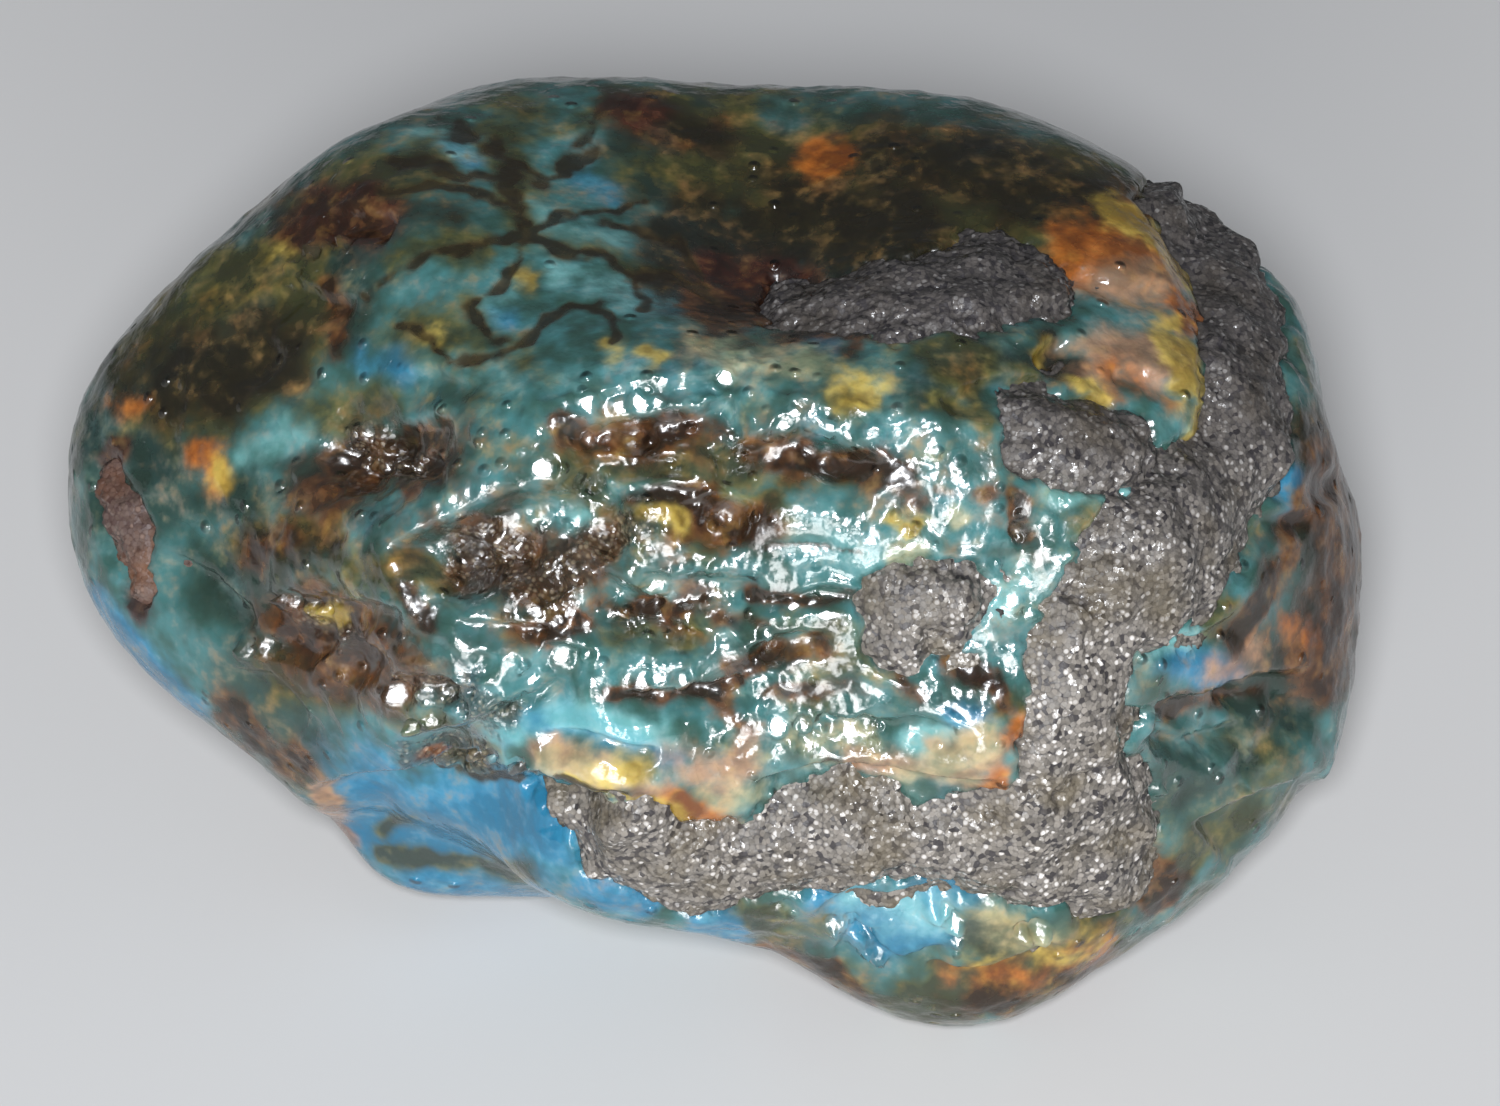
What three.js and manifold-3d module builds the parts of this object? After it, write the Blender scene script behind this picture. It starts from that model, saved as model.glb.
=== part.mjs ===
// Rough blue amber specimen: one lump of amber with ledges and hollows broken into it, and the crusts of grey
// sandstone matrix that still cling to it. Millimetres, +Z up, +X along the longest extent.
// The origin is in the plane of the resting face, under the middle of the specimen's box.
//
// The forms are laid out on the display frame: right (along +X), up and out, seen square on to the display
// face, which looks up and to the front. Every place below is [right, up] or [right, up, out] from MIDDLE.
import * as THREE from "three";
import { mergeVertices } from "three/addons/utils/BufferGeometryUtils.js";
import Module from "manifold-3d";

const wasm = await Module();
wasm.setup();

// ---- Driving dimensions ----
const DISPLAY_RISE = 38; // degrees that the display face looks up by
const MIDDLE = new THREE.Vector3(0.09, -0.24, 14.2); // the display frame's origin, above the resting face
const ROUNDING = 20; // power that blends the broken faces: higher is sharper
const FRONT_BIAS = 0.42; // how far the mesh is gathered towards the display face, for finer facets there
const AMBER_DETAIL = 12; // splits of each icosahedron edge
const FRONT_BLEND = [-1, 3]; // out places between which a form of the display side fades in

const LEDGE_WIDTH = 1.6; // how far a ledge takes to step down
const LEDGE_TAPER = 0.16; // share of a ledge's length over which it fades in at each end

const CRUST_DETAIL = 10;
const CRUST_RISE = 0.75; // how far a crust stands above the amber
const CRUST_SEAT = 1.3; // how deep it sits in the amber
const SEAT_GAP = 0.3; // clearance between a crust and its seat
const CRUST_LUMPS = { lengths: [4.1, 2.6], height: 0.28 };
const OUTLINE_SIDES = 4; // sides of a half circle in a crust's outline

const REACH_OVER_ALL = 60; // longer than the specimen, for blocks that cut right through it

// The broken faces: bearing round the display face (degrees anticlockwise from the right), lean towards the
// viewer (degrees) and distance from the middle.
const FACES = [
  [0, 0, 28.0], [25, 0, 26.6], [57, 0, 22.2], [86, 0, 19.1], [106, 0, 21.2], [130, 0, 22.5],
  [155, 0, 26.8], [180, 0, 28.7], [-153, 0, 23.8], [-133, 0, 20.7], [-106, 0, 15.8], [-80, 0, 19.6],
  [-41, 0, 24.3], [-20, 0, 27.4],
  [90, 38, 15.4], [-90, 82, 17.0], [-86, 38, 17.4], [180, 43, 21.4], [-5, 32, 23.8], [-40, 35, 21.6],
  [-135, 35, 18.6], [135, 45, 19.0], [48, 42, 20.0],
  [90, -52, 19.8], [0, -40, 22.4], [180, -40, 21.6], [45, -40, 20.8], [135, -42, 20.4], [-90, -80, 17.2],
  [-45, -30, 21.5], [-135, -30, 18.2],
];

// Long, gentle undulations over the whole lump.
const UNDULATIONS = [{ length: 17, height: 0.5 }, { length: 8.5, height: 0.25 }];

// Swells (positive height) and hollows (negative). Those with no out place lie on the display side.
const SWELLS = [
  { name: "foot", at: [9, -15.5, 5], radius: 6.2, height: 2.1 },
  { name: "right_lobe", at: [22.5, -10, 4], radius: 4.2, height: 1.6 },
  { name: "shoulder", at: [8, 6, 15], radius: 6, height: 0.9 },
  { name: "brow", at: [-2, 5, 15], radius: 5, height: 0.8 },
  { name: "belly", at: [-8, -4, 14], radius: 6, height: 0.9 },
  { name: "upper_orange_boss", at: [16.6, 11.4], radius: 2.4, height: 1.0 },
  { name: "lower_orange_boss", at: [17.2, 6.6], radius: 2.2, height: 1.1 },
  { name: "pale_shelf", at: [9.6, -7.2], radius: 2.8, height: 0.9 },
  { name: "gold_streak", at: [-3, -9.4], radius: 2.4, height: 0.8 },
  { name: "crown_knob", at: [-12, 12.5], radius: 3.2, height: 0.7 },
  { name: "blue_window", at: [-10.2, -11.4], radius: 3.0, height: -1.3 },
  { name: "blue_lip", at: [-12.4, -13.6, -1], radius: 3.4, height: 1.5 },
  { name: "foot_notch", at: [0.4, -16.4, 1.2], radius: 5.2, height: -3.0 },
  { name: "right_waist", at: [25.5, 5, 0], radius: 3.0, height: -1.2 },
  { name: "left_underside", at: [-18.8, -8.2, 0], radius: 4.4, height: -1.5 },
  { name: "top_dip", at: [2, 12], radius: 4.5, height: -1.0 },
  { name: "left_pit", at: [-13.5, 4.0], radius: 2.6, height: -0.7 },
  { name: "cheek_pit", at: [-9.5, -0.6], radius: 2.4, height: -0.7 },
  { name: "lower_pit", at: [-15, -3.4], radius: 2.2, height: -0.6 },
  { name: "crest_hollow", at: [20, 13, 6], radius: 4, height: -0.9 },
  { name: "left_cheek", at: [-21, -1, 9], radius: 4.5, height: -0.8 },
  { name: "back_hollow", at: [6, 10, -12], radius: 8, height: -1.6 },
  { name: "back_boss", at: [-10, 8, -12], radius: 6, height: 1.2 },
];

// Ledges of the display side: the surface steps down by `step` below each line and comes back over `fade`.
const LEDGES = [
  { name: "brow", line: [[-6.4, 4.2], [-4.6, 4.9], [-2.6, 5.1], [-0.6, 5.3], [1, 6]], step: 1.3, fade: 4 },
  { name: "eyelid", line: [[-0.6, 3.7], [1, 4], [3.2, 4.4], [5.4, 3.7], [6.8, 2.9]], step: 1.0, fade: 3 },
  { name: "cheek", line: [[-13, -0.3], [-11, 0.7], [-8.4, 1.8], [-5.9, 2.2], [-5, 3.4]], step: 1.3, fade: 4 },
  { name: "left_brow", line: [[-15.8, 2.6], [-14.6, 4.2], [-12.4, 5], [-10.2, 5]], step: 0.8, fade: 3.5 },
  { name: "middle", line: [[-4.8, -1], [-3, -1.8], [-0.6, -1.1], [2.2, -1.4]], step: 0.9, fade: 3 },
  { name: "belly", line: [[-12.6, -7.6], [-10, -7.1], [-8.2, -6.2], [-5, -4.6]], step: 1.1, fade: 3.5 },
  { name: "lip", line: [[-17, -10.2], [-14.4, -9.3], [-11, -9], [-7, -9], [-3.4, -9.6]], step: 2.0, fade: 6 },
  { name: "chin", line: [[1, -9.6], [4.6, -8.8], [8.4, -9], [11.4, -9]], step: 1.0, fade: 3 },
  { name: "right_fold", line: [[17, -6.3], [19.4, -6.1], [21.6, -5.2], [23.5, -5]], step: 1.2, fade: 3 },
  { name: "lower_fold", line: [[18.4, -11], [20.6, -9.6], [23, -8.4]], step: 0.9, fade: 3 },
];

// Matrix crusts: each a chain of [right, up, half width, back], where back is how far back it goes there.
const CRUSTS = {
  matrix_band: [
    [18.0, 13.8, 0.9, -4], [20.3, 11.5, 1.3, -4], [21.1, 8.5, 1.5, -4], [21.2, 5.5, 1.6, -3],
    [20.6, 3.0, 1.8, 0], [17.4, -0.6, 2.8, 3], [15.0, -3.4, 1.9, 3], [14.3, -5.6, 1.8, 3],
    [14.3, -8.2, 1.9, 4], [14.9, -11.8, 2.7, 4], [12.6, -12.2, 2.1, 4], [8.2, -11.7, 1.5, 6],
    [5.0, -11.4, 1.9, 6], [1.6, -12.6, 1.4, 6], [-1.2, -12.9, 1.6, 6], [-3.6, -11.9, 1.8, 6],
    [-6.0, -10.0, 0.7, 6],
  ],
  matrix_top_patch: [[3.0, 9.6, 1.0, 3], [7.4, 9.8, 1.4, 3], [11.0, 10.5, 1.9, 3], [13.3, 9.9, 0.9, 3]],
  matrix_upper_patch: [[12.9, 4.3, 1.6, 4], [15.8, 3.7, 1.4, 4]],
  matrix_middle_patch: [[9.1, -2.3, 1.5, 4], [7.6, -2.5, 1.7, 4], [7.3, -3.6, 1.2, 4]],
  matrix_left_strip: [[-24.1, 2.3, 0.9, -3], [-23.5, 0.4, 0.9, -3], [-23.0, -1.5, 0.7, -3]],
};

// ---- The display frame ----
const toRow = new THREE.Matrix4()
  .makeRotationX(THREE.MathUtils.degToRad(90 - DISPLAY_RISE))
  .setPosition(MIDDLE);

// ---- The form ----
const smooth = (low, high, x) => THREE.MathUtils.smoothstep(x, low, high);

const faces = FACES.map(([bearing, lean, reach]) => {
  const round = THREE.MathUtils.degToRad(bearing);
  const out = THREE.MathUtils.degToRad(lean);
  const normal = new THREE.Vector3(Math.cos(round), Math.sin(round), 0).multiplyScalar(Math.cos(out));
  normal.z = Math.sin(out);
  return { normal, reach };
});

// The broken faces' blended distance from the middle along a direction.
function facesReach(direction) {
  let sum = 0;
  for (const { normal, reach } of faces) {
    sum += Math.max(0, direction.dot(normal) / reach) ** ROUNDING;
  }
  return sum ** (-1 / ROUNDING);
}

// Gentle unevenness from four crossed waves of one length, between -1 and 1: each wave's heading and phase.
const WAVES = [
  [0.9, 0.3, 0.3, 0.5], [-0.4, 0.85, 0.35, 2.1], [0.25, -0.4, 0.88, 4.0], [-0.7, -0.5, 0.5, 5.2],
];
function ripple(place, length) {
  let sum = 0;
  for (const [x, y, z, phase] of WAVES) {
    const along = place.x * x + place.y * y + place.z * z;
    sum += Math.sin((along * 2 * Math.PI) / length + phase * (1 + length));
  }
  return sum / WAVES.length;
}

// How far a place lies below a line on the display face, and how far along the line, from 0 to 1.
function besideLine(line, place) {
  let best = { distance: Infinity };
  for (let i = 0; i + 1 < line.length; i++) {
    const [ax, ay] = line[i];
    const [dx, dy] = [line[i + 1][0] - ax, line[i + 1][1] - ay];
    const [px, py] = [place.x - ax, place.y - ay];
    const t = THREE.MathUtils.clamp((px * dx + py * dy) / (dx * dx + dy * dy), 0, 1);
    const distance = Math.hypot(px - t * dx, py - t * dy);
    if (distance < best.distance) {
      const side = dx * py - dy * px < 0 ? 1 : -1;
      best = { distance, below: side * distance, along: (i + t) / (line.length - 1) };
    }
  }
  return best;
}

function ledgeSink({ line, step, fade }, place) {
  const { below, along } = besideLine(line, place);
  const taper = smooth(0, LEDGE_TAPER, along) * smooth(0, LEDGE_TAPER, 1 - along);
  const drop = smooth(-LEDGE_WIDTH / 2, LEDGE_WIDTH / 2, below);
  return step * taper * drop * (1 - smooth(LEDGE_WIDTH, fade, below));
}

function swellRise({ at, radius, height }, place, frontShare) {
  const [right, up, out] = at;
  const centre = new THREE.Vector3(right, up, out ?? place.z);
  const rise = height * Math.exp(-place.distanceToSquared(centre) / radius ** 2);
  return out === undefined ? rise * frontShare : rise;
}

// The amber's surface: its distance from the middle along a direction of the display frame.
function amberReach(direction) {
  const base = facesReach(direction);
  const place = direction.clone().multiplyScalar(base);
  const frontShare = smooth(...FRONT_BLEND, place.z);
  let reach = base;
  for (const { length, height } of UNDULATIONS) reach += height * ripple(place, length);
  for (const swell of SWELLS) reach += swellRise(swell, place, frontShare);
  for (const ledge of LEDGES) reach -= ledgeSink(ledge, place) * frontShare;
  return reach;
}

// The top of a crust, with the lumps of its sandstone.
function crustReach(direction) {
  const reach = amberReach(direction);
  const place = direction.clone().multiplyScalar(reach);
  const lumps = CRUST_LUMPS.lengths.reduce((sum, length) => sum + ripple(place, length), 0);
  return reach + CRUST_RISE + CRUST_LUMPS.height * lumps;
}

// ---- Solids ----
function asSolid(geometry) {
  const bare = geometry.clone();
  bare.deleteAttribute("normal");
  bare.deleteAttribute("uv");
  const merged = mergeVertices(bare, 1e-4);
  const mesh = new wasm.Mesh({
    numProp: 3,
    vertProperties: new Float32Array(merged.attributes.position.array),
    triVerts: new Uint32Array(merged.index.array),
  });
  return new wasm.Manifold(mesh);
}

function asGeometry(solid) {
  const { numProp, vertProperties, triVerts } = solid.getMesh();
  const points = [];
  for (let i = 0; i < vertProperties.length; i += numProp) {
    points.push(vertProperties[i], vertProperties[i + 1], vertProperties[i + 2]);
  }
  const geometry = new THREE.BufferGeometry();
  geometry.setAttribute("position", new THREE.Float32BufferAttribute(points, 3));
  geometry.setIndex([...triVerts]);
  geometry.computeVertexNormals();
  return geometry;
}

// A closed star-shaped solid about the middle, its facets gathered towards the display face.
function lump(detail, reachOf) {
  const geometry = new THREE.IcosahedronGeometry(1, detail);
  const position = geometry.attributes.position;
  const direction = new THREE.Vector3();
  for (let i = 0; i < position.count; i++) {
    direction.fromBufferAttribute(position, i).normalize();
    direction.z += FRONT_BIAS;
    direction.normalize();
    direction.multiplyScalar(reachOf(direction));
    position.setXYZ(i, direction.x, direction.y, direction.z);
  }
  return asSolid(geometry.applyMatrix4(toRow));
}

// One link of a crust's outline: the hull of two circles, run out from its back through the display face.
function outlineLink([ax, ay, aw, back], [bx, by, bw], grow) {
  const [ra, rb] = [aw + grow, bw + grow];
  const length = Math.hypot(bx - ax, by - ay);
  const heading = Math.atan2(by - ay, bx - ax);
  const spread = Math.acos(THREE.MathUtils.clamp((ra - rb) / length, -1, 1));
  const shape = new THREE.Shape();
  shape.absarc(bx, by, rb, heading - spread, heading + spread, false);
  shape.absarc(ax, ay, ra, heading + spread, heading - spread + 2 * Math.PI, false);
  const extrusion = { depth: REACH_OVER_ALL, bevelEnabled: false, curveSegments: OUTLINE_SIDES };
  const geometry = new THREE.ExtrudeGeometry(shape, extrusion);
  return asSolid(geometry.translate(0, 0, back - grow).applyMatrix4(toRow));
}

function outlinePrism(chain, grow) {
  return chain
    .slice(1)
    .map((end, i) => outlineLink(chain[i], end, grow))
    .reduce((whole, link) => whole.add(link));
}

// Everything below the plane that the specimen rests on.
function floorBlock() {
  const side = 2 * REACH_OVER_ALL;
  return asSolid(new THREE.BoxGeometry(side, side, side).translate(0, 0, -side / 2));
}

const floor = floorBlock();
const crustTop = lump(CRUST_DETAIL, crustReach).subtract(floor);
const crustSeat = lump(CRUST_DETAIL, (direction) => amberReach(direction) - CRUST_SEAT);
const pocketFloor = lump(AMBER_DETAIL, (direction) => amberReach(direction) - CRUST_SEAT - SEAT_GAP);

const crusts = {};
let amber = lump(AMBER_DETAIL, amberReach).subtract(floor);
for (const [name, chain] of Object.entries(CRUSTS)) {
  crusts[name] = crustTop.intersect(outlinePrism(chain, 0)).subtract(crustSeat);
  amber = amber.subtract(outlinePrism(chain, SEAT_GAP).subtract(pocketFloor));
}

// ---- The specimen ----
const amberFinish = new THREE.MeshStandardMaterial({ color: 0x3c7f7d, roughness: 0.25, metalness: 0 });
const matrixFinish = new THREE.MeshStandardMaterial({ color: 0x5d574f, roughness: 0.85, metalness: 0 });

const specimen = new THREE.Group();
function place(name, solid, finish) {
  const mesh = new THREE.Mesh(asGeometry(solid), finish);
  mesh.name = name;
  specimen.add(mesh);
}
place("amber_nodule", amber, amberFinish);
for (const [name, solid] of Object.entries(crusts)) place(name, solid, matrixFinish);

export default specimen;
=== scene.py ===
"""A rough blue amber specimen: one glossy lump of amber with crusts of grey sandstone matrix.

The forms are laid out on the display frame: right (along +X), up and out, seen square on to the display
face, which looks up and to the front. Places and sizes are in millimetres until a mesh is made.
"""

from __future__ import annotations

import itertools
import logging
import math
from collections.abc import Callable, Mapping, Sequence
from dataclasses import dataclass, field
from enum import Enum

import bpy
import numpy as np
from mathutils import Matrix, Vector

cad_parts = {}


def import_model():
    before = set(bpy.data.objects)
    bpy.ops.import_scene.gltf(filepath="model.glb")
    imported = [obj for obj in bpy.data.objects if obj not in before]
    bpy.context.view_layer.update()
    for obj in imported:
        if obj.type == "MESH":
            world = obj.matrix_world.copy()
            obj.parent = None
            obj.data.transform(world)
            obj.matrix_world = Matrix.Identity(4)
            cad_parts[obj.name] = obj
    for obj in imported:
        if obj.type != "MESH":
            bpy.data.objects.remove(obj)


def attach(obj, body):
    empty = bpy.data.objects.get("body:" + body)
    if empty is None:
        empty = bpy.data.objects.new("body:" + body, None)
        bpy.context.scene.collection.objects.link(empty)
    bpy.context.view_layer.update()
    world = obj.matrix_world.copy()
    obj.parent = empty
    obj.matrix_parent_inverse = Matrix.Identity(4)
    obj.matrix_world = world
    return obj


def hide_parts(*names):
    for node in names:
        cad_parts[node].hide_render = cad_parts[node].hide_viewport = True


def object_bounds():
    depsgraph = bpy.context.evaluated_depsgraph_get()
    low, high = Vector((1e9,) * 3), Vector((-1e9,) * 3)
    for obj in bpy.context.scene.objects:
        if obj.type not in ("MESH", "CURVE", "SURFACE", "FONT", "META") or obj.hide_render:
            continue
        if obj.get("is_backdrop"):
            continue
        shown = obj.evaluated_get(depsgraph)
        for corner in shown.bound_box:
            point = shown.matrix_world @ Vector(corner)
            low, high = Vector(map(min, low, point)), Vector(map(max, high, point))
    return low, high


log = logging.getLogger("specimen")

MM = 0.001  # metres in a millimetre

Array = np.ndarray
Point = tuple[float, float]
Colour = tuple[float, float, float]
Chain = tuple[tuple[float, float, float, float], ...]


def smooth(low: float, high: float, x: Array) -> Array:
    """Rises smoothly from 0 at low to 1 at high."""
    t = np.clip((x - low) / (high - low), 0.0, 1.0)
    return t * t * (3.0 - 2.0 * t)


def unit(vectors: Array) -> Array:
    """Scales each row to length 1."""
    return vectors / np.linalg.norm(vectors, axis=1, keepdims=True)


def linear(red: int, green: int, blue: int) -> Colour:
    """Turns a colour as seen on a screen into the linear colour that a shader takes.

    Args:
        red: its red, from 0 to 255.
        green: its green, from 0 to 255.
        blue: its blue, from 0 to 255.

    Returns:
        The linear colour, from 0 to 1.
    """
    shares = (value / 255 for value in (red, green, blue))
    low, high, dark = 12.92, 1.055, 0.04045
    return tuple(s / low if s < dark else ((s + high - 1) / high) ** 2.4 for s in shares)


# ---- Patterns over space ----


class Grain:
    """Seeded gradient noise and scattered cells over space."""

    TABLE = 256
    GAIN = 1.7  # brings the waves to between about -1 and 1
    APART = 7.3  # shift between the layers

    def __init__(self, seed: int) -> None:
        """Draws the tables of slopes and seed places.

        Args:
            seed: seed of the draws.
        """
        random = np.random.default_rng(seed)
        self.order = random.permutation(self.TABLE)
        self.slopes = unit(random.normal(size=(self.TABLE, 3)))
        self.jitter = random.uniform(size=(self.TABLE, 3))

    def _pick(self, cells: Array) -> Array:
        """Gives each cell its own entry of the tables.

        Args:
            cells: rows of the cells' three whole numbers.

        Returns:
            The entries' numbers.
        """
        last = self.TABLE - 1
        x, y, z = (cells & last).T
        return self.order[(x + self.order[(y + self.order[z]) & last]) & last]

    def waves(self, places: Array, size: float) -> Array:
        """Gradient noise.

        Args:
            places: rows of right, up and out.
            size: length of one wave.

        Returns:
            A value between about -1 and 1 for each place.
        """
        scaled = places / size
        cell = np.floor(scaled).astype(int)
        inside = scaled - cell
        blend = inside**3 * (inside * (inside * 6 - 15) + 10)
        total = np.zeros(len(places))
        for corner in itertools.product((0, 1), repeat=3):
            slope = self.slopes[self._pick(cell + corner)]
            weight = np.where(corner, blend, 1 - blend).prod(axis=1)
            total += weight * ((inside - corner) * slope).sum(axis=1)
        return self.GAIN * total

    def layers(self, places: Array, size: float, count: int, share: float = 0.5) -> Array:
        """Adds up waves, each half as long as the last.

        Args:
            places: rows of right, up and out.
            size: length of the longest wave.
            count: number of layers.
            share: height of each layer over the one before.

        Returns:
            A value between about -1 and 1 for each place.
        """
        weights = [share**i for i in range(count)]
        total = sum(w * self.waves(places + self.APART * i, size / 2**i) for i, w in enumerate(weights))
        return total / sum(weights)

    def cells(self, places: Array, size: float) -> tuple[Array, Array, Array]:
        """Scattered seeds, one to a cell.

        Args:
            places: rows of right, up and out.
            size: distance between seeds.

        Returns:
            The distances to the nearest seed and the second nearest, in sizes, and the nearest one's own
            random share, from 0 to 1.
        """
        scaled = places / size
        cell = np.floor(scaled).astype(int)
        nearest = np.full(len(places), np.inf)
        second = nearest.copy()
        number = np.zeros(len(places), dtype=int)
        for offset in itertools.product((-1, 0, 1), repeat=3):
            pick = self._pick(cell + offset)
            distance = np.linalg.norm(cell + offset + self.jitter[pick] - scaled, axis=1)
            closer = distance < nearest
            second = np.where(closer, nearest, np.minimum(second, distance))
            number = np.where(closer, pick, number)
            nearest = np.minimum(nearest, distance)
        return nearest, second, self.order[number] / self.TABLE


# ---- The display frame ----


@dataclass(frozen=True)
class DisplayFrame:
    """The frame that the forms are laid out on.

    Attributes:
        rise: degrees that the display face looks up by.
        middle: the frame's origin in the row frame.
    """

    rise: float = 38.0
    middle: tuple[float, float, float] = (0.09, -0.24, 14.2)

    def to_row(self, places: Array) -> Array:
        """Turns places of this frame into the row frame.

        Args:
            places: rows of right, up and out, in millimetres.

        Returns:
            The places in the row frame, still in millimetres.
        """
        tilt = math.radians(90 - self.rise)
        right, up, out = places.T
        back = up * math.cos(tilt) - out * math.sin(tilt)
        high = up * math.sin(tilt) + out * math.cos(tilt)
        return np.stack([right, back, high], axis=1) + self.middle


DISPLAY = DisplayFrame()


def beside_line(line: Sequence[Sequence[float]], places: Array) -> tuple[Array, Array]:
    """Measures places against a line on the display face.

    Args:
        line: points of right and up.
        places: rows that start with right and up.

    Returns:
        How far each place lies below the line (negative above it), and how far along it, from 0 to 1.
    """
    below = np.full(len(places), np.inf)
    along = np.zeros(len(places))
    for i, (start, end) in enumerate(itertools.pairwise(line)):
        step = np.subtract(end[:2], start[:2])
        offset = places[:, :2] - start[:2]
        t = np.clip(offset @ step / (step @ step), 0, 1)
        away = np.linalg.norm(offset - t[:, None] * step, axis=1)
        side = np.where(step[0] * offset[:, 1] - step[1] * offset[:, 0] < 0, 1, -1)
        closer = away < np.abs(below)
        below = np.where(closer, side * away, below)
        along = np.where(closer, (i + t) / (len(line) - 1), along)
    return below, along


@dataclass(frozen=True)
class Swell:
    """A swell or a hollow.

    Attributes:
        name: what it is on the specimen.
        at: its right, up and out, or right and up alone where it belongs to the display side.
        radius: distance over which it dies away.
        height: its height, negative for a hollow.
    """

    name: str
    at: tuple[float, ...]
    radius: float
    height: float

    def rise(self, places: Array, front: Array) -> Array:
        """Height that the swell adds at each place.

        Args:
            places: rows of right, up and out.
            front: each place's share of the display side.

        Returns:
            The height at each place.
        """
        offset = places[:, :len(self.at)] - self.at
        lift = self.height * np.exp(-(offset**2).sum(axis=1) / self.radius**2)
        return lift * front if len(self.at) == 2 else lift


@dataclass(frozen=True)
class Ledge:
    """A ledge of the display side: the surface steps down below its line and comes back further down.

    Attributes:
        name: what it is on the specimen.
        line: the ledge's edge, as points of right and up.
        step: depth of the step.
        fade: distance below the edge over which the surface comes back.
        width: width of the step's slope.
    """

    name: str
    line: tuple[Point, ...]
    step: float
    fade: float
    width: float = 0.55

    TAPER = 0.16  # share of the edge over which each end dies away

    def sink(self, places: Array) -> Array:
        """Works out how much the ledge takes away.

        Args:
            places: rows that start with right and up.

        Returns:
            The depth at each place.
        """
        below, along = beside_line(self.line, places)
        taper = smooth(0, self.TAPER, along) * smooth(0, self.TAPER, 1 - along)
        drop = smooth(-self.width / 2, self.width / 2, below)
        return self.step * taper * drop * (1 - smooth(self.width, self.fade, below))


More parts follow.
